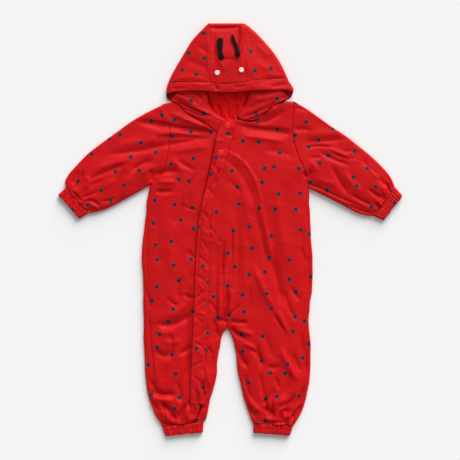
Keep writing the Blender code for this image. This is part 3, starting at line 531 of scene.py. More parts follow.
    (-278, 49, -263, 55, -246, 41, 3.0, -3.6, 0.0),
    (-278, 35, -259, 36, -236, 41, 3.0, -3.2, 0.0),
    (-270, 45, -259, 45, -248, 35, 3.5, 2.0, 0.0),
    (-251, 54, -232, 55, -213, 62, 3.0, -2.3, 0.0),
    (-248, 79, -229, 87, -217, 98, 5.5, 1.7, 0.0),
    (-270, 81, -251, 90, -236, 98, 3.0, -1.5, 0.0),
    (-149, 185, -139, 174, -134, 163, 4.0, -1.0, 0.0),
    (-232, 45, -206, 50, -175, 68, 3.0, -1.5, 0.0),
    # left sleeve
    (119, 231, 140, 229, 155, 222, 3.0, -2.3, 0.0),
    (117, 187, 136, 191, 155, 187, 5.0, -2.9, 0.0),
    (132, 165, 166, 167, 225, 172, 4.5, -2.8, 0.2),
    (138, 151, 163, 158, 201, 154, 2.5, -3.3, 0.3),
    (140, 178, 178, 182, 220, 184, 6.0, 1.7, 0.0),
    (212, 148, 225, 149, 241, 152, 2.0, -2.1, 0.0),
    (149, 133, 163, 137, 176, 136, 2.5, -2.1, 0.0),
    (166, 153, 189, 136, 231, 121, 4.5, -3.3, 0.2),
    (189, 149, 216, 137, 243, 135, 3.0, -2.8, 0.0),
    (174, 161, 205, 146, 243, 128, 3.5, 1.9, 0.0),
    (193, 127, 203, 98, 227, 62, 6.0, -4.8, 0.3),
    (222, 70, 243, 58, 273, 43, 4.0, -3.6, 0.2),
    (216, 113, 231, 87, 254, 68, 6.5, 2.4, 0.0),
    (258, 79, 277, 65, 292, 56, 3.0, -4.5, 0.2),
    (271, 51, 282, 41, 277, 28, 3.5, -4.3, 0.0),
    (292, 92, 301, 75, 290, 54, 3.0, -4.3, 0.0),
    (284, 83, 292, 75, 288, 66, 4.0, 2.2, 0.0),
    (279, 98, 288, 90, 296, 79, 4.0, -2.7, 0.0),
    (258, 130, 271, 109, 281, 92, 5.0, 2.0, 0.0),
    (246, 136, 265, 117, 286, 98, 4.0, -2.0, 0.2),
    (138, 113, 146, 102, 153, 117, 4.0, -4.5, 0.0),
    (149, 127, 159, 121, 163, 106, 4.0, 1.9, 0.0),
    (146, 87, 157, 83, 174, 79, 2.5, -2.9, 0.0),
    (155, 98, 182, 90, 205, 83, 5.0, 1.5, 0.0),
    (208, 49, 235, 41, 269, 30, 4.5, -2.7, 0.0),
    (189, 64, 208, 52, 231, 45, 4.0, 1.5, 0.0),
    (231, 33, 250, 33, 281, 26, 3.0, -2.3, 0.0),
)
FLAP_CREASES = (
    ("x0", "y0", "x_bend", "y_bend", "x1", "y1", "half_width", "rise", "lean"),
    # round the snaps
    (-8, 208, 1, 200, 5, 187, 4.0, 1.6, 0.0),
    (-8, 184, -3, 178, 11, 180, 3.5, -1.6, 0.0),
    (-31, 166, -21, 169, -10, 166, 3.0, 1.2, 0.0),
    (-26, 153, -19, 151, -13, 152, 2.0, -1.6, 0.0),
    (-18, 132, -7, 123, -3, 109, 3.5, 1.3, 0.0),
    (-39, 126, -29, 118, -21, 103, 2.2, -1.5, 0.3),
    (-37, 115, -30, 108, -24, 95, 3.2, 0.7, 0.0),
    (-19, 121, -24, 102, -32, 81, 2.0, -3.1, 0.0),
    (-33, 100, -28, 83, -33, 60, 2.6, -1.4, 0.0),
    # across its lower half, unevenly spaced
    (-46, 82, -38, 73, -28, 60, 2.3, -1.7, 0.3),
    (-56, 39, -49, 28, -39, 16, 2.3, -1.8, 0.3),
    (-60, 4, -50, -3, -40, -14, 3.0, 0.9, 0.0),
    (-58, -16, -50, -27, -42, -44, 2.6, -1.8, 0.3),
    (-62, -49, -54, -55, -42, -70, 2.3, -1.4, 0.2),
    (-58, -66, -50, -72, -43, -82, 2.8, 1.3, 0.0),
    (-66, -84, -56, -93, -44, -97, 2.8, -1.2, 0.2),
    (-63, -102, -55, -108, -49, -119, 2.8, 1.3, 0.0),
    (-70, -134, -58, -123, -43, -108, 2.6, -1.8, -0.2),
    (-66, -152, -55, -139, -44, -130, 2.6, -1.3, 0.0),
    (-64, -157, -53, -159, -42, -163, 2.5, 1.6, 0.0),
    (-68, -160, -60, -172, -46, -181, 2.4, -1.4, 0.2),
    (-70, -208, -58, -200, -46, -188, 2.6, -1.5, -0.2),
    (-71, -214, -58, -219, -48, -231, 2.4, -1.6, 0.2),
    (-67, -228, -57, -234, -47, -244, 3.5, 0.9, 0.0),
    (-74, -264, -64, -255, -50, -249, 2.3, -1.6, 0.0),
    (-74, -275, -63, -284, -51, -297, 2.6, -1.4, 0.2),
    (-57, -291, -54, -301, -53, -312, 2.5, -1.4, 0.0),
)
HOOD_CREASES = (
    ("x0", "y0", "x_bend", "y_bend", "x1", "y1", "half_width", "rise", "lean"),
    (26, 398, 23, 360, 15, 318, 4.5, 5.1, -0.4),
    (16, 391, 14, 356, 7, 326, 4.0, -2.9, 0.0),
    (-48, 385, -16, 382, 24, 386, 3.5, -3.8, 0.0),
    (-30, 379, -31, 345, -30, 311, 3.0, -1.9, 0.0),
    (-41, 368, -40, 322, -41, 280, 4.0, 1.6, 0.0),
    (32, 368, 33, 322, 35, 284, 4.0, 1.6, 0.0),
    (-65, 349, -46, 337, -39, 326, 5.0, -1.6, 0.0),
    (-88, 322, -58, 311, -35, 296, 7.0, -1.6, 0.0),
    (-111, 284, -77, 288, -42, 282, 4.5, 1.4, 0.0),
    (41, 322, 64, 307, 94, 299, 7.5, 1.4, 0.0),
    (49, 280, 79, 284, 113, 292, 4.0, -1.6, 0.0),
    (60, 299, 83, 292, 113, 292, 5.5, 1.3, 0.0),
    (-23, 318, -4, 322, 15, 317, 4.5, -1.4, 0.0),
    (-27, 326, -16, 311, -8, 296, 4.0, 1.3, 0.0),
    (-31, 277, -27, 269, -23, 261, 3.0, -2.2, 0.0),
    (3, 273, 15, 269, 30, 273, 3.0, -1.4, 0.0),
    (45, 353, 60, 341, 75, 322, 6.5, 1.3, 0.0),
    (-77, 277, -58, 273, -35, 273, 3.5, 1.1, 0.0),
    (72, 269, 94, 273, 115, 277, 4.0, -1.9, 0.0),
    (-115, 269, -96, 267, -77, 269, 3.0, -1.4, 0.0),
    (-73, 368, -58, 375, -46, 383, 5.0, 1.3, 0.0),
)
BAND_CREASES = (
    ("x0", "y0", "x_bend", "y_bend", "x1", "y1", "half_width", "rise", "lean"),
    (-118, 252, -77, 231, -29, 211, 2.3, -5.1, 0.3),
    (-88, 239, -61, 227, -31, 218, 3.5, 2.2, 0.0),
    (-96, 235, -65, 220, -35, 211, 2.3, -2.6, 0.0),
    (-111, 258, -84, 246, -54, 227, 4.5, 1.9, 0.0),
    (-103, 263, -96, 258, -84, 254, 2.3, -2.9, 0.0),
    (-75, 263, -63, 256, -52, 242, 2.3, -2.9, 0.0),
    (-48, 254, -42, 239, -31, 223, 3.5, 2.1, 0.0),
    (18, 211, 49, 222, 79, 235, 2.6, -2.9, 0.0),
    (26, 206, 53, 214, 83, 229, 2.8, -2.6, 0.0),
    (68, 227, 77, 233, 87, 241, 4.0, -3.5, 0.0),
    (94, 248, 110, 252, 121, 258, 2.8, -1.9, 0.0),
    (41, 246, 72, 250, 106, 261, 5.5, 1.9, 0.0),
    (30, 223, 49, 237, 72, 244, 4.0, -1.6, 0.0),
    (51, 254, 60, 261, 68, 265, 2.6, -2.4, 0.0),
)
LINING_CREASES = (
    ("x0", "y0", "x_bend", "y_bend", "x1", "y1", "half_width", "rise", "lean"),
    (-22, 204, -20, 220, -25, 239, 2.8, -4.4, 0.0),
    (13, 206, 11, 222, 16, 239, 2.3, -3.6, 0.0),
    (-4, 208, -3, 222, -4, 233, 1.8, -2.1, 0.0),
    (-33, 223, -41, 244, -46, 265, 3.0, -3.9, 0.0),
    (41, 265, 32, 246, 24, 225, 3.0, -3.9, 0.0),
    (-18, 265, -14, 254, -8, 241, 2.3, -2.9, 0.0),
    (3, 265, 11, 254, 5, 239, 2.3, -2.9, 0.0),
    (20, 265, 18, 250, 22, 239, 2.1, -2.6, 0.0),
    (-31, 261, -16, 250, 3, 248, 4.5, 1.6, 0.0),
)


# ---------------------------------------------------------------- numbers

def smooth(value):
    """Ease from 0 to 1 while value goes from 0 to 1."""
    value = np.clip(value, 0.0, 1.0)
    return value * value * (3.0 - 2.0 * value)


def column(table, name):
    """One named column of a table."""
    place = table[0].index(name)
    return np.array([row[place] for row in table[1:]], float)


def curve(keys, values, at):
    """Smooth curve through the values, with no overshoot, read at places."""
    order = np.argsort(keys)
    keys, values = keys[order], values[order]
    runs = np.diff(keys)
    rises = np.diff(values) / runs
    both = rises[1:] + rises[:-1]
    inner = 2.0 * rises[1:] * rises[:-1] / np.where(both == 0.0, 1.0, both)
    inner = np.where(rises[1:] * rises[:-1] > 0.0, inner, 0.0)
    slopes = np.concatenate([rises[:1], inner, rises[-1:]])
    at = np.clip(at, keys[0], keys[-1])
    low = np.clip(np.searchsorted(keys, at, side="right") - 1, 0, len(keys) - 2)
    share = (at - keys[low]) / runs[low]
    rest = 1.0 - share
    ends = values[low] * rest ** 2 * (1.0 + 2.0 * share) + values[low + 1] * share ** 2 * (3.0 - 2.0 * share)
    bends = slopes[low] * share * rest ** 2 - slopes[low + 1] * share ** 2 * rest
    return ends + bends * runs[low]


def read(table, name, at):
    """Smooth value of a column where the table's first column is at."""
    return curve(column(table, table[0][0]), column(table, name), at)


def ring_at(table, place):
    """Smooth row of a table at fractional places, as a dictionary of columns."""
    keys = np.arange(len(table) - 1, dtype=float)
    return {name: curve(keys, column(table, name), place) for name in table[0]}


def rounded(inset, radius):
    """Height of a quarter circle at a distance in from its edge."""
    return np.sqrt(np.maximum(0.0, radius ** 2 - (radius - np.clip(inset, 0.0, radius)) ** 2))


def drift(x, y, cell, seed):
    """Smooth random height from -1 to 1, with one knot to a cell. Each use has a seed of its own."""
    knots = np.random.default_rng(seed).uniform(-1.0, 1.0, (64, 64))
    across, along = x / cell + 32.0, y / cell + 32.0
    column_low, row_low = np.floor(across).astype(int), np.floor(along).astype(int)
    ease_x, ease_y = smooth(across - column_low), smooth(along - row_low)
    low = (knots[row_low % 64, column_low % 64] * (1 - ease_x)
           + knots[row_low % 64, (column_low + 1) % 64] * ease_x)
    high = (knots[(row_low + 1) % 64, column_low % 64] * (1 - ease_x)
            + knots[(row_low + 1) % 64, (column_low + 1) % 64] * ease_x)
    return low * (1 - ease_y) + high * ease_y


# Rumple of handled cloth: heights and spacings of its wide swells, small swells and ridges
SWELL_HIGH = 1.1
SWELL_CELL = 52.0
SMALL_SWELL_HIGH = 0.55
SMALL_SWELL_CELL = 24.0
SMALL_SWELL_SLANT = 0.4
RIDGE_HIGH = 0.6
RIDGE_CELL = 34.0
RIDGE_SLANT = 0.3
RIDGE_STRETCH = 0.55
RIDGE_POWER = 1.5


def rumple(x, y, seed):
    """Low swells and faint ridges that cloth keeps after handling."""
    swell = (SWELL_HIGH * drift(x, y, SWELL_CELL, seed)
             + SMALL_SWELL_HIGH * drift(x + SMALL_SWELL_SLANT * y, y, SMALL_SWELL_CELL, seed + 1))
    ridge = 1.0 - np.abs(drift(x - RIDGE_SLANT * y, y * RIDGE_STRETCH, RIDGE_CELL, seed + 2)) * 2.0
    return swell + RIDGE_HIGH * np.clip(ridge, 0.0, 1.0) ** RIDGE_POWER


def creases(table, x, y):
    """Height of a table's creases: each is highest along a bent line and fades at its ends."""
    total = np.zeros_like(x)
    shares = np.linspace(0.0, 1.0, 9)
    for x0, y0, x_bend, y_bend, x1, y1, half_width, rise, lean in table[1:]:
        x_pull, y_pull = 2.0 * x_bend - 0.5 * (x0 + x1), 2.0 * y_bend - 0.5 * (y0 + y1)
        line_x = (1 - shares) ** 2 * x0 + 2 * shares * (1 - shares) * x_pull + shares ** 2 * x1
        line_y = (1 - shares) ** 2 * y0 + 2 * shares * (1 - shares) * y_pull + shares ** 2 * y1
        reach = CREASE_REACH * half_width
        near = ((x > line_x.min() - reach) & (x < line_x.max() + reach)
                & (y > line_y.min() - reach) & (y < line_y.max() + reach))
        if not near.any():
            continue
        at_x, at_y = x[near][:, None], y[near][:, None]
        run_x, run_y = np.diff(line_x), np.diff(line_y)
        length = np.hypot(run_x, run_y)
        place = ((at_x - line_x[:-1]) * run_x + (at_y - line_y[:-1]) * run_y) / length ** 2
        held = np.clip(place, 0.0, 1.0)
        off_x = at_x - line_x[:-1] - run_x * held
        off_y = at_y - line_y[:-1] - run_y * held
        gap = np.hypot(off_x, off_y)
        best = gap.argmin(axis=1)
        pick = np.arange(len(best))
        side = np.sign(run_x[best] * off_y[pick, best] - run_y[best] * off_x[pick, best])
        travelled = np.concatenate([[0.0], np.cumsum(length)])
        share = (travelled[best] + held[pick, best] * length[best]) / travelled[-1]
        across = gap[pick, best] / (half_width * (1.0 + lean * side))
        fade = smooth(share / CREASE_ENDS) * smooth((1.0 - share) / CREASE_ENDS)
        total[near] += rise * fade * np.exp(-CREASE_FALL * across ** CREASE_POWER)
    return total


def body_edge(table, side, y):
    """Place of a side seam or inside leg, rippling a little between its ends."""
    high, low, seed = CROTCH[1], LEG_RIPPLE_END, 137
    if table is SIDES:
        high, low, seed = UNDERARM[side][1], SIDE_RIPPLE_END, 131
    ends = smooth((high - y) / RIPPLE_FADE) * smooth((y - low) / RIPPLE_FADE)
    lane = y * 0.0 + (9.0 if side == "left" else 0.0)
    return read(table, side, y) + RIPPLE * ends * drift(y, lane, RIPPLE_CELL, seed)


def pucker(travel, off, pitch, reach, seed):
    """Uneven little waves along a seam, fading away from it."""
    lane = travel * 0.0
    wave = drift(travel, lane, pitch, seed) + 0.6 * drift(travel, lane + 40.0, pitch * 0.55, seed + 5)
    return wave * np.exp(-np.maximum(off, 0.0) / reach)


def seam_turn(off):
    """Depth of a panel's edge where it turns into its seam."""
    return -SEAM_DIP * np.exp(-(off / SEAM_ROUND) ** 2)


def edge_shares(width, step, finest=0.5):
    """Shares 0 to 1 across a panel, closer together at both edges."""
    places = [0.0]
    while places[-1] < width * 0.5:
        places.append(places[-1] + min(step, finest + 0.3 * places[-1]))
    half = np.array(places) / places[-1] * 0.5
    return np.concatenate([half, (1.0 - half[::-1])[1:]])


# ---------------------------------------------------------------- meshes

def put(name, data):
    """A new object with this data, linked into the scene."""
    item = bpy.data.objects.new(name, data)
    bpy.context.scene.collection.objects.link(item)
    return item


def mesh_piece(name, points, faces, finish, cut=None):
    """A smooth-shaded object from points in millimetres and faces, with its cut as a UV map."""
    mesh = bpy.data.meshes.new(name)
    mesh.from_pydata((np.asarray(points) * MM).tolist(), [], np.asarray(faces).tolist())
    if cut is not None:
        layer = mesh.uv_layers.new(name="cut")
        corners = np.empty(len(mesh.loops), int)
        mesh.loops.foreach_get("vertex_index", corners)
        layer.data.foreach_set("uv", (np.asarray(cut)[corners] * MM).ravel())
    mesh.shade_smooth()
    mesh.materials.append(finish)
    return put(name, mesh)


def cloth(name, place, rows, shares, finish, wall=CLOTH_WALL, up=True, ring=False, cut=(0.0, 0.0, 0.0)):
    """A thin sheet of cloth: place gives the outer face at each row and share."""
    row, share = np.meshgrid(rows, shares, indexing="ij")
    x, y, z = place(row, share)
    points = np.stack([x, y, z], axis=-1)
    index = np.arange(x.size).reshape(x.shape)
    if ring:
        low, high = index[:-1], index[1:]
        quads = np.stack([low, np.roll(low, -1, 1), np.roll(high, -1, 1), high], -1)
    else:
        quads = np.stack([index[:-1, :-1], index[:-1, 1:], index[1:, 1:], index[1:, :-1]], -1)
    upper = quads[:, :quads.shape[1] // 2] if ring else quads
    flat = points.reshape(-1, 3)
    corner = flat[upper.reshape(-1, 4)]
    lean = np.cross(corner[:, 1] - corner[:, 0], corner[:, 3] - corner[:, 0])[:, 2].sum()
    quads = quads.reshape(-1, 4)
    if (lean > 0.0) != up:
        quads = quads[:, ::-1]
    turn = math.radians(cut[2])
    shown = flat[:, :2] + (flat[:, 2:3] < EDGE_RADIUS * 0.9) * (700.0 if ring else 0.0)
    uv = np.stack([shown[:, 0] * math.cos(turn) - shown[:, 1] * math.sin(turn) + cut[0],
                   shown[:, 0] * math.sin(turn) + shown[:, 1] * math.cos(turn) + cut[1]], -1)
    item = mesh_piece(name, flat, quads, finish, uv)
    shell = item.modifiers.new("wall", "SOLIDIFY")
    shell.thickness = wall * MM
    shell.offset = -1.0
    return item


# ---------------------------------------------------------------- finishes

def shader_group(name, inputs, output):
    """An empty node group with number or vector inputs and one output."""
    tree = bpy.data.node_groups.new(name, "ShaderNodeTree")
    for label, kind, value in inputs:
        socket = tree.interface.new_socket(name=label, in_out="INPUT", socket_type=kind)
        if value is not None:
            socket.default_value = value
    tree.interface.new_socket(name=output, in_out="OUTPUT", socket_type="NodeSocketFloat")
    return tree, tree.nodes.new("NodeGroupInput"), tree.nodes.new("NodeGroupOutput")


def math_node(tree, operation, *values):
    """A Math node; each value is a number or a socket."""
    node = tree.nodes.new("ShaderNodeMath")
    node.operation = operation
    for socket, value in zip(node.inputs, values):
        if isinstance(value, (int, float)):
            socket.default_value = value
        else:
            tree.links.new(value, socket)
    return node.outputs[0]


def dots_group():
    """Round dots scattered unevenly, one to a cell: 1 inside a dot."""
    tree, start, end = shader_group("scattered_dots", (
        ("Vector", "NodeSocketVector", None),
        ("Cell", "NodeSocketFloat", 0.04),
        ("Radius", "NodeSocketFloat", 0.004),
        ("Edge", "NodeSocketFloat", 0.0005),
    ), "Mask")
    cells = tree.nodes.new("ShaderNodeTexVoronoi")
    cells.voronoi_dimensions = "2D"
    cells.feature = "F1"
    cells.inputs["Randomness"].default_value = 0.66
    tree.links.new(start.outputs["Vector"], cells.inputs["Vector"])
    tree.links.new(math_node(tree, "DIVIDE", 1.0, start.outputs["Cell"]), cells.inputs["Scale"])
    gap = math_node(tree, "MULTIPLY", cells.outputs["Distance"], start.outputs["Cell"])
    inside = math_node(tree, "SUBTRACT", start.outputs["Radius"], gap)
    mask = math_node(tree, "DIVIDE", inside, start.outputs["Edge"])
    tree.links.new(math_node(tree, "MINIMUM", math_node(tree, "MAXIMUM", mask, 0.0), 1.0), end.inputs["Mask"])
    return tree


def weave_group():
    """Plain weave: threads over and under in both directions of the cut."""
    tree, start, end = shader_group("plain_weave", (
        ("Vector", "NodeSocketVector", None),
        ("Pitch", "NodeSocketFloat", 0.0005),
    ), "Height")
    split = tree.nodes.new("ShaderNodeSeparateXYZ")
    tree.links.new(start.outputs["Vector"], split.inputs[0])
    turns = math_node(tree, "DIVIDE", 2.0 * math.pi, start.outputs["Pitch"])
    waves = [math_node(tree, "SINE", math_node(tree, "MULTIPLY", split.outputs[axis], turns))
             for axis in ("X", "Y")]
    tree.links.new(math_node(tree, "MULTIPLY", *waves), end.inputs["Height"])
    return tree


def crinkle_group():
    """Fine crinkles of light cloth: thin ridges on a soft swell."""
    tree, start, end = shader_group("fine_crinkles", (
        ("Vector", "NodeSocketVector", None),
        ("Size", "NodeSocketFloat", 0.02),
    ), "Height")
    noise = tree.nodes.new("ShaderNodeTexNoise")
    noise.noise_dimensions = "3D"
    noise.inputs["Detail"].default_value = 3.0
    noise.inputs["Roughness"].default_value = 0.5
    noise.inputs["Distortion"].default_value = 0.6
    tree.links.new(start.outputs["Vector"], noise.inputs["Vector"])
    tree.links.new(math_node(tree, "DIVIDE", 1.0, start.outputs["Size"]), noise.inputs["Scale"])
    swing = math_node(tree, "ABSOLUTE", math_node(tree, "MULTIPLY_ADD", noise.outputs["Fac"], 4.0, -2.0))
    above = math_node(tree, "MAXIMUM", math_node(tree, "SUBTRACT", 1.0, swing), 0.0)
    ridge = math_node(tree, "POWER", above, 2.0)
    swell = math_node(tree, "MULTIPLY", noise.outputs["Fac"], 0.8)
    tree.links.new(math_node(tree, "ADD", ridge, swell), end.inputs["Height"])
    return tree


def fuzz_group():
    """Matted fibres of felt."""
    tree, start, end = shader_group("felt_fuzz", (
        ("Vector", "NodeSocketVector", None),
        ("Size", "NodeSocketFloat", 0.0012),
    ), "Height")
    noise = tree.nodes.new("ShaderNodeTexNoise")
    noise.inputs["Detail"].default_value = 6.0
    noise.inputs["Roughness"].default_value = 0.7
    noise.inputs["Distortion"].default_value = 1.5
    tree.links.new(start.outputs["Vector"], noise.inputs["Vector"])
    tree.links.new(math_node(tree, "DIVIDE", 1.0, start.outputs["Size"]), noise.inputs["Scale"])
    tree.links.new(noise.outputs["Fac"], end.inputs["Height"])
    return tree


GROUPS = {"dots": dots_group(), "weave": weave_group(), "crinkle": crinkle_group(), "fuzz": fuzz_group()}


def use_group(tree, key, vector, **values):
    """Output of a pattern group at a vector, with its inputs set."""
    node = tree.nodes.new("ShaderNodeGroup")
    node.node_tree = GROUPS[key]
    tree.links.new(vector, node.inputs["Vector"])
    for label, value in values.items():
        node.inputs[label].default_value = value
    return node.outputs[0]


def new_finish(name, colour, roughness, sheen=0.0, tint=(1.0, 1.0, 1.0), specular=0.5):
    """A material with its node tree and its main shader."""
    finish = bpy.data.materials.new(name)
    finish.use_nodes = True
    shader = finish.node_tree.nodes["Principled BSDF"]
    shader.inputs["Base Color"].default_value = (*colour, 1.0)
    shader.inputs["Roughness"].default_value = roughness
    shader.inputs["Sheen Weight"].default_value = sheen
    shader.inputs["Sheen Roughness"].default_value = 0.4
    shader.inputs["Sheen Tint"].default_value = (*tint, 1.0)
    shader.inputs["Specular IOR Level"].default_value = specular
    return finish, finish.node_tree, shader


def mix_colour(tree, share, low, high):
    """A colour between two, each a tuple or a socket, at a share."""
    node = tree.nodes.new("ShaderNodeMix")
    node.data_type = "RGBA"
    tree.links.new(share, node.inputs["Factor"])
    for socket, value in ((node.inputs["A"], low), (node.inputs["B"], high)):
        if isinstance(value, tuple):
            socket.default_value = (*value, 1.0)
        else:
            tree.links.new(value, socket)
    return node.outputs["Result"]


def add_bump(tree, shader, layers):
    """Chain of Bump nodes: each layer is a height socket, its strength and its depth in metres."""
    normal = None
    for height, strength, depth in layers:
        bump = tree.nodes.new("ShaderNodeBump")
        bump.inputs["Strength"].default_value = strength
        bump.inputs["Distance"].default_value = depth
        tree.links.new(height, bump.inputs["Height"])
        if normal is not None:
            tree.links.new(normal, bump.inputs["Normal"])
        normal = bump.outputs["Normal"]
    tree.links.new(normal, shader.inputs["Normal"])


def shell_finish(name, dotted=True, crinkle=0.2, deep=0.4):
    """Red satin-finished weave, with or without its printed dots."""
    finish, tree, shader = new_finish(name, SHELL, 0.5, sheen=0.02, tint=(1.0, 0.3, 0.3), specular=0.09)
    cut = tree.nodes.new("ShaderNodeUVMap")
    cut.uv_map = "cut"
    patch = tree.nodes.new("ShaderNodeTexNoise")
    patch.inputs["Scale"].default_value = 22.0
    patch.inputs["Detail"].default_value = 4.0
    tree.links.new(cut.outputs[0], patch.inputs["Vector"])
    share = math_node(tree, "MULTIPLY", patch.outputs["Fac"], deep)
    colour = mix_colour(tree, share, SHELL, SHELL_DEEP)
    if dotted:
        mask = use_group(tree, "dots", cut.outputs[0], Cell=DOT_CELL * MM, Radius=DOT_RADIUS * MM,
                         Edge=0.0006)
        colour = mix_colour(tree, mask, colour, DOT)
    tree.links.new(colour, shader.inputs["Base Color"])
    add_bump(tree, shader, (
        (use_group(tree, "crinkle", cut.outputs[0], Size=0.045), crinkle, 0.0022),
        (use_group(tree, "crinkle", cut.outputs[0], Size=0.014), crinkle * 0.5, 0.0004),
        (use_group(tree, "weave", cut.outputs[0], Pitch=0.0006), 0.35, 0.00006),
    ))
    return finish


def lining_finish():
    """Plain red lining, matte and a little brighter."""
    finish, tree, shader = new_finish("lining_plain_red", LINING, 0.62, sheen=0.0,
                                      tint=(1.0, 0.3, 0.2), specular=0.04)
    cut = tree.nodes.new("ShaderNodeUVMap")
    cut.uv_map = "cut"
    patch = tree.nodes.new("ShaderNodeTexNoise")
    patch.inputs["Scale"].default_value = 30.0
    tree.links.new(cut.outputs[0], patch.inputs["Vector"])
    tree.links.new(mix_colour(tree, patch.outputs["Fac"], LINING, tuple(part * 0.88 for part in LINING)),
                   shader.inputs["Base Color"])
    add_bump(tree, shader, (
        (use_group(tree, "crinkle", cut.outputs[0], Size=0.024), 0.4, 0.0012),
        (use_group(tree, "weave", cut.outputs[0], Pitch=0.0007), 0.4, 0.00008),
    ))
    return finish


def felt_finish(name, colour, lighter):
    """Matted felt with a fuzzy surface."""
    finish, tree, shader = new_finish(name, colour, 0.95, sheen=0.02, tint=(1.0, 0.95, 0.95), specular=0.06)
    place = tree.nodes.new("ShaderNodeTexCoord").outputs["Object"]
    fibres = use_group(tree, "fuzz", place, Size=0.0016)
    tree.links.new(mix_colour(tree, fibres, colour, lighter), shader.inputs["Base Color"])
    add_bump(tree, shader, ((fibres, 0.8, 0.0005),))
    return finish


def thread_finish(name, colour):
    """Twisted sewing thread."""
    finish, tree, shader = new_finish(name, colour, 0.5, sheen=0.2, specular=0.4)
    place = tree.nodes.new("ShaderNodeTexCoord").outputs["Object"]
    twist = use_group(tree, "fuzz", place, Size=0.0006)
    tree.links.new(mix_colour(tree, twist, colour, tuple(min(1.0, part * 1.5) for part in colour)),
                   shader.inputs["Base Color"])
    add_bump(tree, shader, ((twist, 0.5, 0.0001),))
    return finish


def snap_finish():
    """Moulded snap cap, satin with fine scuffs."""
    finish, tree, shader = new_finish("snap_moulded_red", SNAP, 0.42, specular=0.3)
    shader.inputs["Coat Weight"].default_value = 0.05
    place = tree.nodes.new("ShaderNodeTexCoord").outputs["Object"]
    scuff = use_group(tree, "fuzz", place, Size=0.004)
    tree.links.new(math_node(tree, "MULTIPLY_ADD", scuff, 0.22, 0.22), shader.inputs["Roughness"])
    worn = tuple(part * 0.9 for part in SNAP)
    tree.links.new(mix_colour(tree, scuff, SNAP, worn), shader.inputs["Base Color"])
    add_bump(tree, shader, ((scuff, 0.15, 0.0001),))
    return finish


DOTTED = shell_finish("shell_dotted_satin")
PLAIN = shell_finish("shell_plain_satin", dotted=False)
LINED = lining_finish()
BLACK = felt_finish("felt_matted_black", FELT_BLACK, (0.016, 0.013, 0.012))
PALE = felt_finish("felt_matted_pale", FELT_PALE, (0.92, 0.78, 0.78))
RED_THREAD = thread_finish("thread_red", THREAD_RED)
DARK_THREAD = thread_finish("thread_dark", THREAD_DARK)
CAP = snap_finish()


# ---------------------------------------------------------------- heights

def body_inset(x, y, side, with_inseam):
    """Distance in from the body's outline: side seam, underarm, shoulder and inside leg."""
    corner_x, corner_y = UNDERARM[side]
    inset = np.where(y > corner_y, np.hypot(x - corner_x, y - corner_y),
                     np.abs(x - body_edge(SIDES, side, y)))
    if with_inseam:
        inner = np.where(y > CROTCH[1], np.hypot(x - CROTCH[0], y - CROTCH[1]),
                         np.abs(x - body_edge(INSEAMS, side, y)))
        inset = np.minimum(inset, inner)
    shoulder = np.abs(read(NECK_BACK, "y", x) + 0.4 - y)
    return np.where(np.abs(x) > SHOULDER_OUT, np.minimum(inset, shoulder), inset)


# Gathers of the legs: their spacing and the seed of their draws
ANKLE_PUCKERS = (("right", 7.0, 31), ("left", 6.6, 37))
FRONT_AIR = 0.5           # creases and rumple of the front stand on this
SOFT_STOP = 2.0           # troughs ease to the lowest front over this height

# Puckers along the sewn edges of the body: height, spacing and reach
RISE_PUCKER = 0.6
STITCH_PUCKER = 0.7
PUCKER_PITCH = 7.0
PUCKER_REACH = 6.0
SHORT_REACH = 5.0


def ankle_gathers(x, y):
    """Gathers of the legs above their elasticated casings."""
    total = np.zeros_like(x)
    for side, pitch, seed in ANKLE_PUCKERS:
        off = y - read(ANKLES[side], "y", x)
        here = (x < 0.0) if side == "right" else (x > 0.0)
        total += np.where(here, ANKLE_GATHER * pucker(x, off, pitch, GATHER_REACH, seed), 0.0)
    return total


def front_height(x, y, inset, lift=0.0):
    """Outer face of the front, with its creases, dome and gathers."""
    dome = DOME_RISE * smooth(inset / DOME_REACH)
    dome = dome + BELLY_RISE * smooth(inset / BELLY_FADE) * smooth((BELLY_TOP[0] - y) / BELLY_TOP[1])
    relief = creases(BODY_CREASES, x, y) + rumple(x, y, 3) + ankle_gathers(x, y) + FRONT_AIR
    height = EDGE_RADIUS + rounded(inset, EDGE_RADIUS) + dome + relief * smooth(inset / FOLD_FADE)
    low = LOWEST_FRONT + SIDE_GAP
    sunk = np.minimum(height - low - SOFT_STOP, 0.0)
    return np.where(sunk < 0.0, low + SOFT_STOP * np.exp(sunk / SOFT_STOP), height) + lift


def lap_lift(x, y):
    """Extra height of what lies on the underlap, falling away past its edge."""
    past = x - read(CLOSURE, "underlap", y) - LAP_CLEAR
    return LAP_LIFT * (1.0 - smooth(past / LAP_FALL))


def bent_row(row, x, neck, ankle):
    """A row's height at x, bent towards the neck line above and the ankle seam below."""
    y = row
    if neck is not None:
        share = np.clip((row - TOP_BLEND) / (TOP_ROW - TOP_BLEND), 0.0, None)
        y = y + (read(neck, "y", x) - TOP_ROW) * share
    share = np.clip((BOTTOM_BLEND - row) / (BOTTOM_BLEND - BOTTOM_ROW), 0.0, None)
    return y + (read(ankle, "y", x) - BOTTOM_ROW) * share


def outer_edge(side, y):
    """A panel's outer edge: armhole seam above the underarm, side seam below it."""
    return np.where(y > UNDERARM[side][1], read(ARMHOLES, side, y), body_edge(SIDES, side, y))


def body_point(row, share, inner, side, neck, ankle):
    """Flat place of a body panel's point: its row runs from the inner edge out to the side."""
    y = row
    for _ in range(2):
        first = inner(y)
        x = first + (outer_edge(side, y) - first) * share
        y = bent_row(row, x, neck, ankle)
    first = inner(y)
    return first + (outer_edge(side, y) - first) * share, y, first


# ---------------------------------------------------------------- body

def levels(first, last, step, kept=()):
    """Even levels from first to last, with those that a bend needs."""
    count = max(1, round(abs(last - first) / step))
    return np.unique(np.concatenate([np.linspace(first, last, count + 1), kept]))


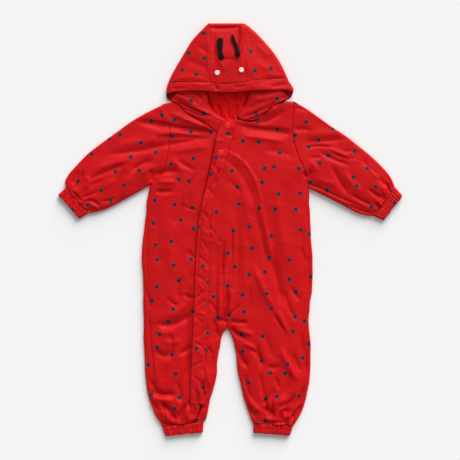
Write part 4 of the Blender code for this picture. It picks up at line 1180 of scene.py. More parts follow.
def right_front_point(row, share):
    """Outer right front, from the underlap to the side seam."""
    x, y, _ = body_point(row, share, lambda at: read(CLOSURE, "underlap", at), "right",
                         NECK_FRONT_RIGHT, ANKLES["right"])
    off_neck = read(NECK_FRONT_RIGHT, "y", x) - y
    z = front_height(x, y, body_inset(x, y, "right", False))
    z += (np.where(y > UNDERARM["right"][1], seam_turn(x - read(ARMHOLES, "right", y)), 0.0)
          + seam_turn(off_neck))
    return x, y, z


def left_inner(y):
    """Inner edge of the left front: closure, then rise, then inside leg."""
    closure = read(CLOSURE, "stitch", y)
    rise = read(RISE, "seam", y)
    inseam = body_edge(INSEAMS, "left", y)
    return np.where(y >= RISE_TOP, closure, np.where(y >= CROTCH[1], rise, inseam))


def left_front_point(row, share):
    """Left front and leg, lifted where they lie on the underlap."""
    x, y, first = body_point(row, share, left_inner, "left", NECK_FRONT_LEFT, ANKLES["left"])
    inset = body_inset(x, y, "left", True)
    off_seam = np.abs(x - first)
    seamed = y > CROTCH[1] + 2.0
    z = front_height(x, y, inset, lap_lift(x, y) * smooth(inset / EDGE_FADE))
    puckers = RISE_PUCKER * pucker(y, off_seam, PUCKER_PITCH, PUCKER_REACH, 11)
    z += np.where(seamed, seam_turn(off_seam) + puckers, 0.0)
    z += np.where(y > UNDERARM["left"][1], seam_turn(read(ARMHOLES, "left", y) - x), 0.0)
    z += seam_turn(read(NECK_FRONT_LEFT, "y", x) - y)
    return x, y, z


def inner_leg_point(row, share):
    """Inner front of the right leg, between the closure and the inside leg."""
    first = read(CLOSURE, "stitch", row)
    last = np.where(row >= CROTCH[1], read(RISE, "seam", row), body_edge(INSEAMS, "right", row))
    x = first + (last - first) * share
    y = bent_row(row, x, None, ANKLES["right"])
    inset = body_inset(x, y, "right", True)
    z = front_height(x, y, inset, lap_lift(x, y) * smooth(inset / EDGE_FADE))
    z += seam_turn(x - first) + STITCH_PUCKER * pucker(y, x - first, PUCKER_PITCH, PUCKER_REACH, 17)
    puckers = RISE_PUCKER * pucker(y, last - x, PUCKER_PITCH, SHORT_REACH, 11)
    z += np.where(row > CROTCH[1], seam_turn(last - x) + puckers, 0.0)
    return x, y, z


# Closure flap: how its free edge stands, waves and rolls under, and how its lower end drops
STAND_POWER = 1.6
FLAP_WAVE = 0.5
FLAP_WAVE_PITCH = 9.0
FLAP_ROLL = 0.8
FLAP_ROUND = 1.2
FLAP_END_DROP = 2.2
FLAP_END_EASE = 26.0


def flap_point(row, share):
    """Closure flap on the underlap: it stands off at its free edge and is sewn at the other."""
    first = read(CLOSURE, "flap", row)
    last = read(CLOSURE, "stitch", row)
    x = first + (last - first) * share
    inset = body_inset(x, row, "right", False)
    stand = read(CLOSURE, "lift", row) * (1.0 - share) ** STAND_POWER
    z = front_height(x, row, inset, LAP_LIFT) + stand + creases(FLAP_CREASES, x, row)
    z += seam_turn(last - x) * 0.8 + STITCH_PUCKER * pucker(row, last - x, PUCKER_PITCH, PUCKER_REACH, 17)
    z += FLAP_WAVE * pucker(row, x - first, FLAP_WAVE_PITCH, SHORT_REACH, 23)
    z -= FLAP_ROLL * np.exp(-((x - first) / FLAP_ROUND) ** 2)
    z -= FLAP_END_DROP * (1.0 - smooth((row - FLAP_END) / FLAP_END_EASE))
    return x, row, z


def back_point(side):
    """Back panel, flat where it rests and rounded up to its side."""
    sign = -1.0 if side == "right" else 1.0

    def inner(y):
        ease = smooth((y - CROTCH[1]) / RISE_EASE)
        centre = CROTCH[0] * (1.0 - ease) + sign * 0.1
        return np.where(y >= CROTCH[1], centre, body_edge(INSEAMS, side, y))

    def place(row, share):
        x, y, _ = body_point(row, share, inner, side, NECK_BACK, ANKLES[side])
        inset = body_inset(x, y, side, True)
        return x, y, EDGE_RADIUS - rounded(inset, EDGE_RADIUS)
    return place


def body_panels():
    """The fronts, inner leg, flap and backs."""
    rows = levels(BOTTOM_ROW, TOP_ROW, MESH_STEP, (CROTCH[1], RISE_TOP))
    coarse = levels(BOTTOM_ROW, TOP_ROW, 6.0, (CROTCH[1],))
    made = {}
    made["front_right"] = cloth("front_right_cloth", right_front_point, rows,
                                edge_shares(130.0, MESH_STEP), DOTTED)
    made["front_left"] = cloth("front_left_cloth", left_front_point, rows,
                               edge_shares(170.0, MESH_STEP), DOTTED, cut=(210.0, 90.0, 4.0))
    inner_rows = levels(BOTTOM_ROW, RISE_TOP - 1.0, 1.8, (CROTCH[1],))
    made["inner_leg_right"] = cloth("inner_leg_right_cloth", inner_leg_point, inner_rows,
                                    edge_shares(28.0, 1.6), DOTTED, cut=(420.0, -60.0, 8.0))
    made["closure_flap"] = cloth("closure_flap_cloth", flap_point, levels(FLAP_END, FLAP_TOP, FINE_STEP),
                                 edge_shares(27.0, 1.5), DOTTED, cut=(-330.0, 150.0, -6.0))
    for side, cut in (("right", (520.0, 330.0, 3.0)), ("left", (-510.0, -330.0, -3.0))):
        made["back_" + side] = cloth("back_%s_cloth" % side, back_point(side), coarse,
                                     edge_shares(150.0, 8.0), DOTTED, up=False, cut=cut)
    return made


def sleeve_point(side):
    """Sleeve as a flat tube: turn 0 to 1 is its upper half and 1 to 2 its under half."""
    table = SLEEVES[side]
    outwards = -1.0 if side == "right" else 1.0

    def place(row, turn):
        upper = turn <= 1.0
        share = np.where(upper, turn, 2.0 - turn)
        first = {name: column(table, name)[0] for name in table[0]}
        seam_y = first["upper_y"] + (first["lower_y"] - first["upper_y"]) * share
        seam_x = first["upper_x"] + (first["lower_x"] - first["upper_x"]) * share
        bow = read(ARMHOLES, side, seam_y) + outwards * 0.2 - seam_x
        ring = ring_at(table, row)
        width = np.hypot(ring["upper_x"] - ring["lower_x"], ring["upper_y"] - ring["lower_y"])
        x = ring["upper_x"] + (ring["lower_x"] - ring["upper_x"]) * share + bow * ring["keep"]
        y = ring["upper_y"] + (ring["lower_y"] - ring["upper_y"]) * share
        inset = np.minimum(share, 1.0 - share) * width
        last = len(table) - 2
        off_cuff = (last - row) * CUFF_STEP
        off_armhole = row * ARMHOLE_STEP
        top = front_height(x, y, inset)
        top += WRIST_GATHER * pucker(share * 66.0, off_cuff, 6.0, GATHER_REACH, 41) * smooth(inset / 6.0)
        top += seam_turn(off_armhole) + 0.5 * pucker(share * 160.0, off_armhole, 8.0, 6.0, 47)
        return x, y, np.where(upper, top, EDGE_RADIUS - rounded(inset, EDGE_RADIUS))
    return place


def sleeves():
    """Both sleeves."""
    made = {}
    upper = edge_shares(130.0, 2.0, 0.35)
    lower = edge_shares(130.0, 8.0, 0.6)
    ring = np.concatenate([upper, 1.0 + lower[1:-1]])
    for side, cut in (("right", (140.0, -410.0, 38.0)), ("left", (-150.0, 420.0, -36.0))):
        rows = levels(0.0, len(SLEEVES[side]) - 2.0, 0.085)
        made["sleeve_" + side] = cloth("sleeve_%s_cloth" % side, sleeve_point(side), rows, ring, DOTTED,
                                       ring=True, cut=cut)
    return made


# Gathers of a casing: how far they shift, how much they vary, and how they flatten at its edges
# and under its middle row of stitches
RIB_SHIFT = 0.42
RIB_SIZE = 0.62
RIB_SPREAD = 0.55
RIB_POWER = 0.8
EDGE_SIZE = 0.35
EDGE_SHARE = 0.2
MIDDLE_DIP = 0.45
MIDDLE_SHARE = 0.05
OPEN_FLARE = 1.0          # the open end waves in and out by this


def casing_point(entry):
    """Elasticated casing as a flat tube with gathers on its upper side."""
    seam_a, seam_b, open_a, open_b = (np.array(corner) for corner in entry[1:5])
    gathers = entry[5]
    seed = 60 + gathers + int(seam_a[0] > 0.0) * 7
    rib = CASING_RIB * 12.0 / gathers

    def place(row, turn):
        start_x, start_y = (seam_a[axis] + (open_a[axis] - seam_a[axis]) * row for axis in (0, 1))
        end_x, end_y = (seam_b[axis] + (open_b[axis] - seam_b[axis]) * row for axis in (0, 1))
        width = np.hypot(end_x - start_x, end_y - start_y)
        radius = CASING_HEIGHT * 0.5
        straight = width - 2.0 * radius
        angle = (np.clip((turn - 1.0) / CASING_TURN, 0.0, 1.0) * math.pi
                 + np.clip((turn - 2.0 - CASING_TURN) / CASING_TURN, 0.0, 1.0) * math.pi)
        run = np.clip(turn, 0.0, 1.0) - np.clip(turn - 1.0 - CASING_TURN, 0.0, 1.0)
        across = radius + straight * run + radius * np.sin(angle)
        height = radius + radius * np.cos(angle)
        phase = run * gathers + RIB_SHIFT * drift(run * 40.0, run * 0.0, 6.0, seed)
        size = RIB_SIZE + RIB_SPREAD * drift(run * 60.0, row * 9.0, 4.5, seed + 1)
        ribs = np.abs(np.cos(math.pi * phase)) ** RIB_POWER * size
        ends = smooth(row / EDGE_SHARE) * smooth((1.0 - row) / EDGE_SHARE)
        shut = EDGE_SIZE + (1.0 - EDGE_SIZE) * ends
        shut *= 1.0 - MIDDLE_DIP * np.exp(-((row - 0.5) / MIDDLE_SHARE) ** 2)
        top = (turn <= 1.0) | (turn > 2.0 + CASING_TURN)
        height = height + np.where(top, rib * ribs * shut * np.cos(angle) ** 2, 0.0)
        flare = OPEN_FLARE * drift(run * 60.0, run * 0.0 + 9.0, 5.5, seed + 2) * row
        share = across / width
        x = start_x + (end_x - start_x) * share
        y = start_y + (end_y - start_y) * share
        out_x, out_y = open_a[0] - seam_a[0], open_a[1] - seam_a[1]
        size = math.hypot(out_x, out_y)
        return x + out_x / size * flare, y + out_y / size * flare, height
    return place


def casings():
    """The casings of both wrists and both ankles."""
    made = {}
    for entry in CASINGS[1:]:
        width = 80.0 if entry[0].startswith("ankle") else 66.0
        top = np.linspace(0.0, 1.0, round(width / 0.8) + 1)
        round_b = np.linspace(1.0, 1.0 + CASING_TURN, 9)[1:]
        under = 1.0 + CASING_TURN + np.linspace(0.0, 1.0, 18)[1:]
        round_a = 2.0 + CASING_TURN + np.linspace(0.0, CASING_TURN, 9)[1:-1]
        ring = np.concatenate([top, round_b, under, round_a])
        made[entry[0]] = cloth(entry[0] + "_cloth", casing_point(entry), np.linspace(0.0, 1.0, 22),
                               ring, DOTTED, ring=True,
                               cut=(entry[1][0] * 3.0, entry[1][1] * 2.0, 20.0))
    return made


# ---------------------------------------------------------------- hood

def hood_inset(x, y):
    """Distance in from the hood's outline: its slanted sides and its top."""
    edges = {}
    for side in ("right", "left"):
        rise = read(HOOD_OUTLINE, side, y + SLOPE_STEP) - read(HOOD_OUTLINE, side, y - SLOPE_STEP)
        slope = rise / (2.0 * SLOPE_STEP)
        edges[side] = np.abs(read(HOOD_OUTLINE, side, y) - x) / np.hypot(1.0, slope)
    side_inset = np.where(x < 0.0, edges["right"], edges["left"])
    return np.minimum(side_inset, np.maximum(0.0, HOOD_TOP - y))


def hood_height(x, y):
    """Outer face of the hood's upper layer, highest near the open brim."""
    inset = hood_inset(x, y)
    crown = HOOD_CROWN * smooth(inset / HOOD_CROWN_REACH)
    relief = creases(HOOD_CREASES, x, y) + 0.55 * rumple(x, y, 71)
    return HOOD_RADIUS + HOOD_GAP + rounded(inset, HOOD_RADIUS) + crown + relief * smooth(inset / FOLD_FADE)


def hood_center_point(row, share):
    """Plain panel down the middle of the hood."""
    first, last = read(HOOD_SEAMS, "right", row), read(HOOD_SEAMS, "left", row)
    x = first + (last - first) * share
    y = row + (read(BRIM, "seam", x) - HOOD_LOW) * (HOOD_TOP - row) / (HOOD_TOP - HOOD_LOW)
    off = np.minimum(x - first, last - x)
    z = hood_height(x, y) + seam_turn(off) + 0.5 * pucker(y, off, 8.0, 5.0, 81)
    return x, y, z


def hood_side_point(side):
    """Side panel of the hood, from the centre seam to the outline."""
    def place(row, share):
        y = row
        for _ in range(2):
            first = read(HOOD_SEAMS, side, y)
            x = first + (read(HOOD_OUTLINE, side, y) - first) * share
            y = row + (read(BRIM, "seam", x) - HOOD_LOW) * (HOOD_HIGH - row) / (HOOD_HIGH - HOOD_LOW)
        off = np.abs(x - read(HOOD_SEAMS, side, y))
        z = hood_height(x, y) + seam_turn(off) + 0.5 * pucker(y, off, 8.0, 5.0, 81)
        return x, y, z
    return place


def hood_back_point(row, share):
    """The hood's lower layer, flat where it rests."""
    first, last = read(HOOD_OUTLINE, "right", row), read(HOOD_OUTLINE, "left", row)
    x = first + (last - first) * share
    nape = np.maximum(read(NECK_BACK, "y", x), NAPE_MIDDLE) + 0.4
    y = row + (nape - NAPE_LEVEL) * np.clip(1.0 - (row - NAPE_LEVEL) / NAPE_EASE, 0.0, None)
    inset = hood_inset(x, np.maximum(y, 266.0))
    return x, y, HOOD_RADIUS - rounded(inset, HOOD_RADIUS)


# Brim: its swell, its puckers, its groove at the seam and its edge turned down
BRIM_SWELL = 0.9
BRIM_SWELL_POWER = 0.6
BRIM_PUCKER = 0.4
BRIM_GROOVE = 0.7
BRIM_GROOVE_SHARE = 0.06
BRIM_FALL = 2.4
BRIM_UNDER = 0.12         # rows below 0 in which the edge turns down
BRIM_EASE = 10.0


def brim_point(row, share):
    """Stitched band along the forehead edge; rows below 0 turn its edge down."""
    x = BRIM[1][0] + (BRIM[-1][0] - BRIM[1][0]) * share
    edge = read(BRIM, "edge", x)
    y = edge + (read(BRIM, "seam", x) - edge) * np.maximum(row, 0.0)
    first, last = read(HOOD_OUTLINE, "right", y), read(HOOD_OUTLINE, "left", y)
    x = first + (last - first) * share
    inset = hood_inset(x, y)
    swell = BRIM_SWELL * np.sin(math.pi * np.clip(row, 0.0, 1.0)) ** BRIM_SWELL_POWER
    fall = -BRIM_FALL * smooth(-row / BRIM_UNDER)
    ease = smooth(inset / BRIM_EASE)
    puckers = BRIM_PUCKER * pucker(x, (1.0 - row) * 20.0, 8.0, 7.0, 91)
    z = hood_height(x, y) + (swell + puckers) * ease + fall
    return x, y, z - BRIM_GROOVE * np.exp(-((1.0 - row) / BRIM_GROOVE_SHARE) ** 2) * ease


# Hood front: levels between which the facing's foot rises, its fold line and its lowest height
FACING_FROM = 234.0
FACING_EASE = 30.0
FOLD_GROOVE = 0.5
FOLD_SHARE = 0.06
HOOD_FRONT_LOW = 7.2


def hood_front_point(side):
    """Band outside the ridge and facing inside it, as one cloth turned over the edge."""
    table = HOOD_FRONT[side]

    def place(row, share):
        ring = ring_at(table, row)
        outside = np.clip(share, 0.0, 1.0)
        inside = np.clip(share - 1.0, 0.0, 1.0)
        x, y = (ring["out_" + axis] + (ring["edge_" + axis] - ring["out_" + axis]) * outside
                + (ring["in_" + axis] - ring["edge_" + axis]) * inside for axis in "xy")
        band = BAND_FOOT + (ring["ridge"] - BAND_FOOT) * np.sin(outside * math.pi * 0.5)
        root = FACING_FOOT + FACING_RISE * smooth((ring["in_y"] - FACING_FROM) / FACING_EASE)
        facing = root + (ring["ridge"] - root) * np.cos(inside * math.pi * 0.5)
        z = np.where(share <= 1.0, band, facing) + creases(BAND_CREASES, x, y)
        z += 0.35 * rumple(x, y, 97) - FOLD_GROOVE * np.exp(-((share - 1.0) / FOLD_SHARE) ** 2)
        return x, y, np.maximum(z, HOOD_FRONT_LOW)
    return place


# Lining in the hood: its bed, its gathers at the nape, its swell and pleats, and its rise behind
LINING_BED = 5.4
LINING_LOW = 3.4
NAPE_GATHER = 2.6
NAPE_START = 14.0
LINING_SWELL = 2.6
SWELL_FROM = 216.0
LINING_PLEAT = 1.6
PLEAT_CELL = 10.0
PLEATS_FROM = 240.0
PLEATS_EASE = 18.0
LINING_RISE = 6.5
LINING_RISE_FROM = 232.0
LINING_EASE = 34.0


def lining_point(row, share):
    """Lining inside the hood, swelling up behind the face and gathered at the nape."""
    first, last = read(HOOD_LINING, "right", row), read(HOOD_LINING, "left", row)
    x = first + (last - first) * share
    from_nape = row - read(NECK_BACK, "y", x) + NAPE_START
    gather = NAPE_GATHER * pucker(share * 60.0, np.maximum(from_nape, 0.0), 7.0, 12.0, 103)
    swell = LINING_SWELL * smooth((row - SWELL_FROM) / LINING_EASE) * np.sin(math.pi * share) ** 0.7
    pleat = LINING_PLEAT * drift(x, row * 0.35, PLEAT_CELL, 107) * smooth((row - PLEATS_FROM) / PLEATS_EASE)
    behind = LINING_RISE * smooth((row - LINING_RISE_FROM) / LINING_EASE)
    folds = creases(LINING_CREASES, x, row) + 0.4 * rumple(x, row, 109)
    return x, row, np.maximum(LINING_BED + swell + behind + gather + pleat + folds, LINING_LOW)


def hood_pieces():
    """Every cloth of the hood."""
    made = {}
    top_rows = HOOD_TOP - np.array([0.0, 0.15, 0.6, 1.4, 2.4, 3.8, 6.0])
    rows = np.unique(np.concatenate([levels(HOOD_LOW, HOOD_TOP - 7.0, 1.8), top_rows]))
    made["hood_center"] = cloth("hood_center_cloth", hood_center_point, rows, edge_shares(74.0, 1.8), PLAIN)
    for side, cut in (("right", (60.0, 540.0, 24.0)), ("left", (-70.0, -560.0, -24.0))):
        made["hood_side_" + side] = cloth("hood_side_%s_cloth" % side, hood_side_point(side),
                                          levels(HOOD_LOW, HOOD_HIGH, 1.8),
                                          edge_shares(70.0, 1.8, 0.3), DOTTED, cut=cut)
    back_rows = np.unique(np.concatenate([levels(NAPE_LEVEL, HOOD_TOP - 7.0, 7.0), top_rows]))
    made["hood_back"] = cloth("hood_back_cloth", hood_back_point, back_rows, edge_shares(220.0, 8.0), DOTTED,
                              up=False, cut=(333.0, 333.0, 10.0))
    under_rows = -BRIM_UNDER * np.array([3.0, 2.0, 1.0]) / 3.0
    brim_rows = np.concatenate([under_rows, np.linspace(0.0, 1.0, 18)])
    made["hood_brim"] = cloth("hood_brim_cloth", brim_point, brim_rows, edge_shares(240.0, 1.6, 0.4), DOTTED,
                              cut=(-240.0, 610.0, 2.0))
    for side, cut in (("right", (610.0, 77.0, -27.0)), ("left", (-620.0, 66.0, 27.0))):
        rows = levels(0.0, len(HOOD_FRONT[side]) - 2.0, 0.08)
        made["hood_front_" + side] = cloth("hood_front_%s_cloth" % side, hood_front_point(side), rows,
                                           np.linspace(0.0, 2.0, 46), DOTTED, cut=cut)
    made["hood_lining"] = cloth("hood_lining_cloth", lining_point, levels(208.0, 300.0, 1.6),
                                edge_shares(120.0, 1.6), LINED)
    return made


# ---------------------------------------------------------------- felt, snaps and face

FEELERS = {
    "right": (("x", "y", "half_width", "lift"), (-16.2, 321.0, 5.2, 0.4), (-17.6, 327.0, 4.8, 0.9),
              (-19.6, 338.0, 4.5, 1.2), (-19.8, 352.0, 5.6, 1.8), (-19.0, 362.4, 5.8, 2.2)),
    "left": (("x", "y", "half_width", "lift"), (12.6, 326.0, 4.6, 0.4), (13.8, 332.0, 4.4, 1.4),
             (11.6, 343.0, 3.3, 2.2), (7.0, 356.0, 3.0, 2.6), (2.6, 367.6, 3.2, 2.8)),
}
FEELER_THICK = 2.6


def feeler(side):
    """A felt strip with rounded sides and ends, sewn down at its root."""
    table = FEELERS[side]
    rows = edge_shares(50.0, 1.2, 0.2) * (len(table) - 2)
    turns = np.linspace(0.0, 2.0 * math.pi, 29)[:-1]
    row, turn = np.meshgrid(rows, turns, indexing="ij")
    ring = ring_at(table, row)
    ahead = ring_at(table, np.clip(row + 0.05, 0, len(table) - 2))
    behind = ring_at(table, np.clip(row - 0.05, 0, len(table) - 2))
    run_x, run_y = ahead["x"] - behind["x"], ahead["y"] - behind["y"]
    size = np.hypot(run_x, run_y)
    share = row / (len(table) - 2)
    end = np.sqrt(np.clip(1.0 - (np.abs(share - 0.5) * 2.0) ** 18, 0.0, 1.0))
    wobble = 1.0 + 0.06 * drift(row * 30.0, turn * 9.0, 9.0, 121)
    across = ring["half_width"] * end * wobble * np.sign(np.cos(turn)) * np.abs(np.cos(turn)) ** 0.6
    x = ring["x"] + run_y / size * across
    y = ring["y"] - run_x / size * across
    bed = hood_height(ring["x"], ring["y"]) + 0.3 + ring["lift"] + FEELER_THICK * 0.5
    z = bed + FEELER_THICK * 0.5 * end * np.sign(np.sin(turn)) * np.abs(np.sin(turn)) ** 0.7
    index = np.arange(x.size).reshape(x.shape)
    low, high = index[:-1], index[1:]
    quads = np.stack([low, np.roll(low, -1, 1), np.roll(high, -1, 1), high], -1).reshape(-1, 4)
    caps = [index[0][::-1].tolist(), index[-1].tolist()]
    points = np.stack([x, y, z], -1).reshape(-1, 3)
    return closed_piece("feeler_%s_felt" % side, points, quads.tolist() + caps, BLACK)


def closed_piece(name, points, faces, finish):
    """A small closed solid from points in millimetres, smooth, its faces turned outwards."""
    mesh = bpy.data.meshes.new(name)
    mesh.from_pydata((np.asarray(points) * MM).tolist(), [], faces)
    mesh.materials.append(finish)
    form = bmesh.new()
    form.from_mesh(mesh)
    bmesh.ops.recalc_face_normals(form, faces=form.faces)
    form.to_mesh(mesh)
    form.free()
    mesh.shade_smooth()
    return put(name, mesh)


def turned(name, centre, bottom, profile, finish, sides=40):
    """A small round piece: its profile is pairs of radius and height above its bed."""
    angles = np.linspace(0.0, 2.0 * math.pi, sides + 1)[:-1]
    points, faces = [], []
    for radius, height in profile:
        points += [(centre[0] + radius * math.cos(angle), centre[1] + radius * math.sin(angle),
                    bottom + height) for angle in angles]
    for ring in range(len(profile) - 1):
        for step in range(sides):
            after = (step + 1) % sides
            faces.append((ring * sides + step, ring * sides + after,
                          (ring + 1) * sides + after, (ring + 1) * sides + step))
    faces.append(tuple(range(sides))[::-1])
    faces.append(tuple(range((len(profile) - 1) * sides, len(profile) * sides)))
    return closed_piece(name, points, faces, finish)


def one(function, x, y, *more):
    """A height function's value at a single place."""
    return float(function(np.array([float(x)]), np.array([float(y)]), *more)[0])


def flap_height(x, y):
    """Height of the flap's outer face at places."""
    first, last = read(CLOSURE, "flap", y), read(CLOSURE, "stitch", y)
    return flap_point(y, (x - first) / (last - first))[2]


DISC_PROFILE = ((4.4, 0.0), (4.7, 0.3), (4.75, 0.8), (4.5, 1.25), (3.8, 1.5), (2.6, 1.5), (1.6, 1.3),
                (0.9, 0.95), (0.3, 0.8))
CAP_PROFILE = ((5.7, 0.0), (6.2, 0.2), (6.3, 0.7), (6.1, 1.25), (5.5, 1.6), (4.9, 1.72),
               (4.4, 1.66), (4.0, 1.62), (3.2, 1.8), (2.0, 1.95), (0.8, 2.0))


def small_pieces():
    """Felt discs and feelers on the hood, and the two snap caps on the flap."""
    made = {}
    for side, x, y in (("right", -24.8, 296.0), ("left", 20.8, 301.4)):
        bed = one(hood_height, x, y) + 0.35
        made["disc_" + side] = turned("disc_%s_felt" % side, (x, y), bed, DISC_PROFILE, PALE)
        made["feeler_" + side] = feeler(side)
    for level, x, y, sink in (("upper", -5.2, 197.6, 0.9), ("lower", -18.3, 145.5, 0.0)):
        bed = one(flap_height, x, y) + 0.1 - sink
        made["snap_" + level] = turned("snap_%s_cap" % level, (x, y), bed, CAP_PROFILE, CAP)
    return made


# ---------------------------------------------------------------- stitching

def stitch_tree():
    """Stitches along curves: a short thread on every pitch, turned with the seam."""
    tree = bpy.data.node_groups.new("stitch_row", "GeometryNodeTree")
    tree.interface.new_socket(name="Geometry", in_out="INPUT", socket_type="NodeSocketGeometry")
    for label, kind in (("Pitch", "NodeSocketFloat"), ("Length", "NodeSocketFloat"),
                        ("Thread", "NodeSocketFloat"), ("Finish", "NodeSocketMaterial")):
        tree.interface.new_socket(name=label, in_out="INPUT", socket_type=kind)
    tree.interface.new_socket(name="Geometry", in_out="OUTPUT", socket_type="NodeSocketGeometry")
    start, end = tree.nodes.new("NodeGroupInput"), tree.nodes.new("NodeGroupOutput")
    link = tree.links.new

    def node(kind, **settings):
        made = tree.nodes.new(kind)
        for key, value in settings.items():
            setattr(made, key, value)
        return made

    resample = node("GeometryNodeResampleCurve", mode="LENGTH")
    link(start.outputs["Geometry"], resample.inputs["Curve"])
    link(start.outputs["Pitch"], resample.inputs["Length"])
    tangent = node("GeometryNodeInputTangent")
    align = node("FunctionNodeAlignRotationToVector", axis="X")
    link(tangent.outputs[0], align.inputs["Vector"])
    thread = node("GeometryNodeMeshIcoSphere")
    thread.inputs["Radius"].default_value = 0.5
    thread.inputs["Subdivisions"].default_value = 1
    size = node("ShaderNodeCombineXYZ")
    link(start.outputs["Length"], size.inputs["X"])
    link(start.outputs["Thread"], size.inputs["Y"])
    link(start.outputs["Thread"], size.inputs["Z"])
    place = node("GeometryNodeInstanceOnPoints")
    link(resample.outputs[0], place.inputs["Points"])
    link(thread.outputs["Mesh"], place.inputs["Instance"])
    link(align.outputs[0], place.inputs["Rotation"])
    link(size.outputs[0], place.inputs["Scale"])
    real = node("GeometryNodeRealizeInstances")
    link(place.outputs[0], real.inputs[0])
    shade = node("GeometryNodeSetShadeSmooth")
    link(real.outputs[0], shade.inputs[0])
    coat = node("GeometryNodeSetMaterial")
    link(shade.outputs[0], coat.inputs["Geometry"])
    link(start.outputs["Finish"], coat.inputs["Material"])
    link(coat.outputs[0], end.inputs[0])
    return tree


STITCHES = stitch_tree()


def stitch_rows(name, paths, finish, pitch=STITCH_PITCH, length=STITCH_LENGTH, thread=THREAD):
    """Rows of stitches along paths given in millimetres, made one plain mesh."""
    lines = bpy.data.curves.new(name + "_lines", "CURVE")
    lines.dimensions = "3D"
    for path in paths:
        spline = lines.splines.new("POLY")
        spline.points.add(len(path) - 1)
        spline.points.foreach_set("co", np.column_stack([np.asarray(path) * MM, np.ones(len(path))]).ravel())
    guide = put(name + "_lines", lines)
    rows = guide.modifiers.new("stitches", "NODES")
    rows.node_group = STITCHES
    values = {"Pitch": pitch * MM, "Length": length * MM, "Thread": thread * MM, "Finish": finish}
    for socket in STITCHES.interface.items_tree:
        if socket.in_out == "INPUT" and socket.name in values:
            rows[socket.identifier] = values[socket.name]
    shown = guide.evaluated_get(bpy.context.evaluated_depsgraph_get())
    mesh = bpy.data.meshes.new_from_object(shown)
    mesh.name = name
    mesh.materials.clear()
    mesh.materials.append(finish)
    bpy.data.objects.remove(guide, do_unlink=True)
    return put(name, mesh)


def path_on(place, rows, share, lift=STITCH_LIFT):
    """Points a little above a panel, along its rows or its shares, whichever is an array."""
    rows, share = np.broadcast_arrays(np.asarray(rows, float), np.asarray(share, float))
    x, y, z = place(rows, share)
    return np.column_stack([x, y, z + lift])


# Stitch rows: places in from the edge they follow, as sizes or as shares of a brim or casing
FLAP_ROWS = (2.6, 5.6)
EDGE_ROW = 2.4
RISE_ROW = 2.6
TOPSTITCH_TOP = 152.0     # the flap's two long rows end here, at a slanted bar
BRIM_ROWS = (0.92, 0.78, 0.12)
CASING_ROWS = (0.1, 0.5, 0.88)


def stitching():
    """Topstitching that shows: flap, rise, casings, brim, hood seams, hood front."""
    made = {}
    rows = levels(FLAP_END + 1.0, TOPSTITCH_TOP, 2.0)
    width = read(CLOSURE, "stitch", rows) - read(CLOSURE, "flap", rows)
    flap = [path_on(flap_point, rows, 1.0 - inset / width) for inset in FLAP_ROWS]
    edge_rows = levels(FLAP_END + 1.0, FLAP_TOP - 1.0, 2.0)
    edge_width = read(CLOSURE, "stitch", edge_rows) - read(CLOSURE, "flap", edge_rows)
    flap.append(path_on(flap_point, edge_rows, EDGE_ROW / edge_width))
    bar = np.linspace(0.12, 0.92, 12)
    flap.append(path_on(flap_point, TOPSTITCH_TOP + (bar[-1] - bar) * 20.0, bar))
    made["closure_flap"] = stitch_rows("closure_flap_stitches", flap, RED_THREAD)

    rows = levels(CROTCH[1] + 6.0, RISE_TOP - 2.0, 2.0)
    span = outer_edge("left", rows) - read(RISE, "seam", rows)
    left = [path_on(left_front_point, rows, RISE_ROW / span)]
    left.append(path_on(left_front_point, levels(100.0, 228.0, 2.0), 1.0 - EDGE_ROW / 120.0))
    made["front_left"] = stitch_rows("front_left_stitches", left, RED_THREAD)
    rows = levels(110.0, 228.0, 2.0)
    span = outer_edge("right", rows) - read(CLOSURE, "underlap", rows)
    right = [path_on(right_front_point, rows, 1.0 + EDGE_ROW / span)]
    made["front_right"] = stitch_rows("front_right_stitches", right, RED_THREAD)

    across = edge_shares(240.0, 2.0)[3:-3]
    brim = [path_on(brim_point, share, across) for share in BRIM_ROWS]
    made["hood_brim"] = stitch_rows("hood_brim_stitches", brim, RED_THREAD)
    for side in ("right", "left"):
        rows = levels(HOOD_LOW + 2.0, HOOD_HIGH - 3.0, 2.0)
        made["hood_side_" + side] = stitch_rows("hood_side_%s_stitches" % side,
                                                [path_on(hood_side_point(side), rows, 0.045)], RED_THREAD)
        rows = levels(0.4, len(HOOD_FRONT[side]) - 2.2, 0.05)
        made["hood_front_" + side] = stitch_rows("hood_front_%s_stitches" % side,
                                                 [path_on(hood_front_point(side), rows, 0.72)], RED_THREAD)
    for entry in CASINGS[1:]:
        across = np.linspace(0.02, 0.98, 60)
        place = casing_point(entry)
        paths = [path_on(place, share, across) for share in CASING_ROWS]
        made[entry[0]] = stitch_rows(entry[0] + "_stitches", paths, RED_THREAD, pitch=2.6, length=2.0)
    return made


def face_stitching():
    """A sleepy insect face in dark thread: two closed lids and a small smile."""
    paths = []
    for centre, radius_x, radius_y, start, stop in (
            ((-15.4, 308.0), 6.0, 6.2, 18.0, 162.0),
            ((10.6, 311.0), 6.0, 6.2, 18.0, 162.0),
            ((-2.0, 297.4), 4.8, 5.4, 200.0, 340.0)):
        turns = np.radians(np.linspace(start, stop, 24))
        x = centre[0] + radius_x * np.cos(turns)
        y = centre[1] + radius_y * np.sin(turns)
        paths.append(np.column_stack([x, y, hood_height(x, y) + STITCH_LIFT]))
    return stitch_rows("face_stitches", paths, DARK_THREAD, pitch=2.0, length=2.0, thread=1.25)


# ---------------------------------------------------------------- assembly

body = body_panels()
arms = sleeves()
cuffs = casings()
hood = hood_pieces()
small = small_pieces()
rows_of_stitches = stitching()
face = face_stitching()

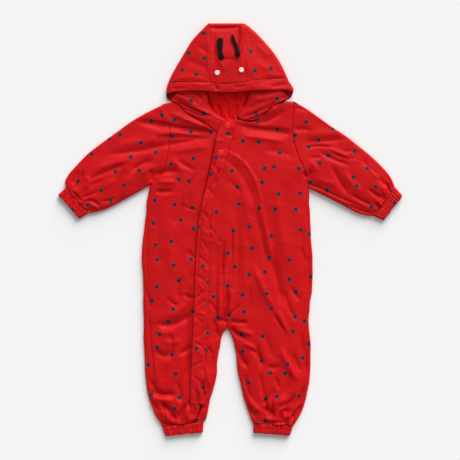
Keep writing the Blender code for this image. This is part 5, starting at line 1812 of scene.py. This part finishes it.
# Flat cut of each sheet: width, length and area
CUTS = (
    ("piece", "slot", "width", "length", "area", "rests_on"),
    ("front_right", "shell", 0.150, 0.625, 0.0820, ("back_right", "back_left")),
    ("front_left", "shell", 0.200, 0.620, 0.0950, ("back_left", "back_right")),
    ("inner_leg_right", "shell", 0.060, 0.385, 0.0101, ("back_right",)),
    ("closure_flap", "shell", 0.032, 0.560, 0.0140, ("front_right",)),
    ("back_right", "shell", 0.175, 0.625, 0.0880, ()),
    ("back_left", "shell", 0.175, 0.625, 0.0880, ()),
    ("sleeve_right", "shell", 0.310, 0.200, 0.0485, ()),
    ("sleeve_left", "shell", 0.340, 0.200, 0.0480, ()),
    ("wrist_casing_right", "shell", 0.200, 0.022, 0.0028, ()),
    ("wrist_casing_left", "shell", 0.200, 0.022, 0.0028, ()),
    ("ankle_casing_right", "shell", 0.230, 0.022, 0.0032, ()),
    ("ankle_casing_left", "shell", 0.230, 0.022, 0.0031, ()),
    ("hood_back", "shell", 0.245, 0.170, 0.0305, ()),
    ("hood_center", "shell", 0.080, 0.120, 0.0090, ("hood_back",)),
    ("hood_side_right", "shell", 0.085, 0.115, 0.0058, ("hood_back",)),
    ("hood_side_left", "shell", 0.085, 0.115, 0.0054, ("hood_back",)),
    ("hood_brim", "shell", 0.245, 0.025, 0.0054, ("hood_back",)),
    ("hood_front_right", "shell", 0.055, 0.115, 0.0046, ("front_right", "hood_lining")),
    ("hood_front_left", "shell", 0.055, 0.115, 0.0038, ("front_left", "hood_lining")),
    ("hood_lining", "lining", 0.140, 0.095, 0.0100, ("hood_back",)),
)
SHOWN = {**body, **arms, **cuffs, **hood}
REPLACED = {"hood_front_right": ("hood_band_right", "hood_facing_right"),
            "hood_front_left": ("hood_band_left", "hood_facing_left")}
EXTRAS = {name: [item] for name, item in rows_of_stitches.items()}
EXTRAS.setdefault("hood_center", []).append(face)

for name, item in small.items():
    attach(item, "root")
    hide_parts(name)
for items in EXTRAS.values():
    for item in items:
        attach(item, "root")
for name, slot_name, width, length, area, rests_on in CUTS[1:]:
    item = SHOWN[name]
    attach(item, "root")
    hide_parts(*REPLACED.get(name, (name,)))

# ---------------------------------------------------------------- floor, light and camera

floor_mesh = bpy.data.meshes.new("floor")
floor_corners = [(-3.0, -3.0, 0.0), (3.0, -3.0, 0.0), (3.0, 3.0, 0.0), (-3.0, 3.0, 0.0)]
floor_mesh.from_pydata(floor_corners, [], [(0, 1, 2, 3)])
floor_finish = bpy.data.materials.new("floor_pale")
floor_finish.use_nodes = True
floor_shader = floor_finish.node_tree.nodes["Principled BSDF"]
floor_shader.inputs["Base Color"].default_value = (FLOOR, FLOOR, FLOOR, 1.0)
floor_shader.inputs["Roughness"].default_value = 0.9
floor_shader.inputs["Specular IOR Level"].default_value = 0.1
floor_mesh.materials.append(floor_finish)
floor = put("floor", floor_mesh)

sun_lamp = bpy.data.lights.new("window", "SUN")
sun_lamp.energy = SUN_POWER
sun_lamp.angle = math.radians(SUN_SPREAD)
sun = put("window", sun_lamp)
sun.rotation_euler = (-Vector(SUN_FROM)).to_track_quat("-Z", "Y").to_euler()

world = bpy.data.worlds.new("studio")
world.use_nodes = True
world.node_tree.nodes["Background"].inputs["Color"].default_value = (1.0, 1.0, 1.0, 1.0)
world.node_tree.nodes["Background"].inputs["Strength"].default_value = SKY
bpy.context.scene.world = world
bpy.context.scene.view_settings.view_transform = "Standard"

camera = bpy.data.cameras.new("camera")
camera.lens = CAMERA_LENS
camera.sensor_width = 36.0
viewer = put("camera", camera)
viewer.location = (*CAMERA_CENTRE, CAMERA_HEIGHT)
bpy.context.scene.camera = viewer

bpy.context.view_layer.update()
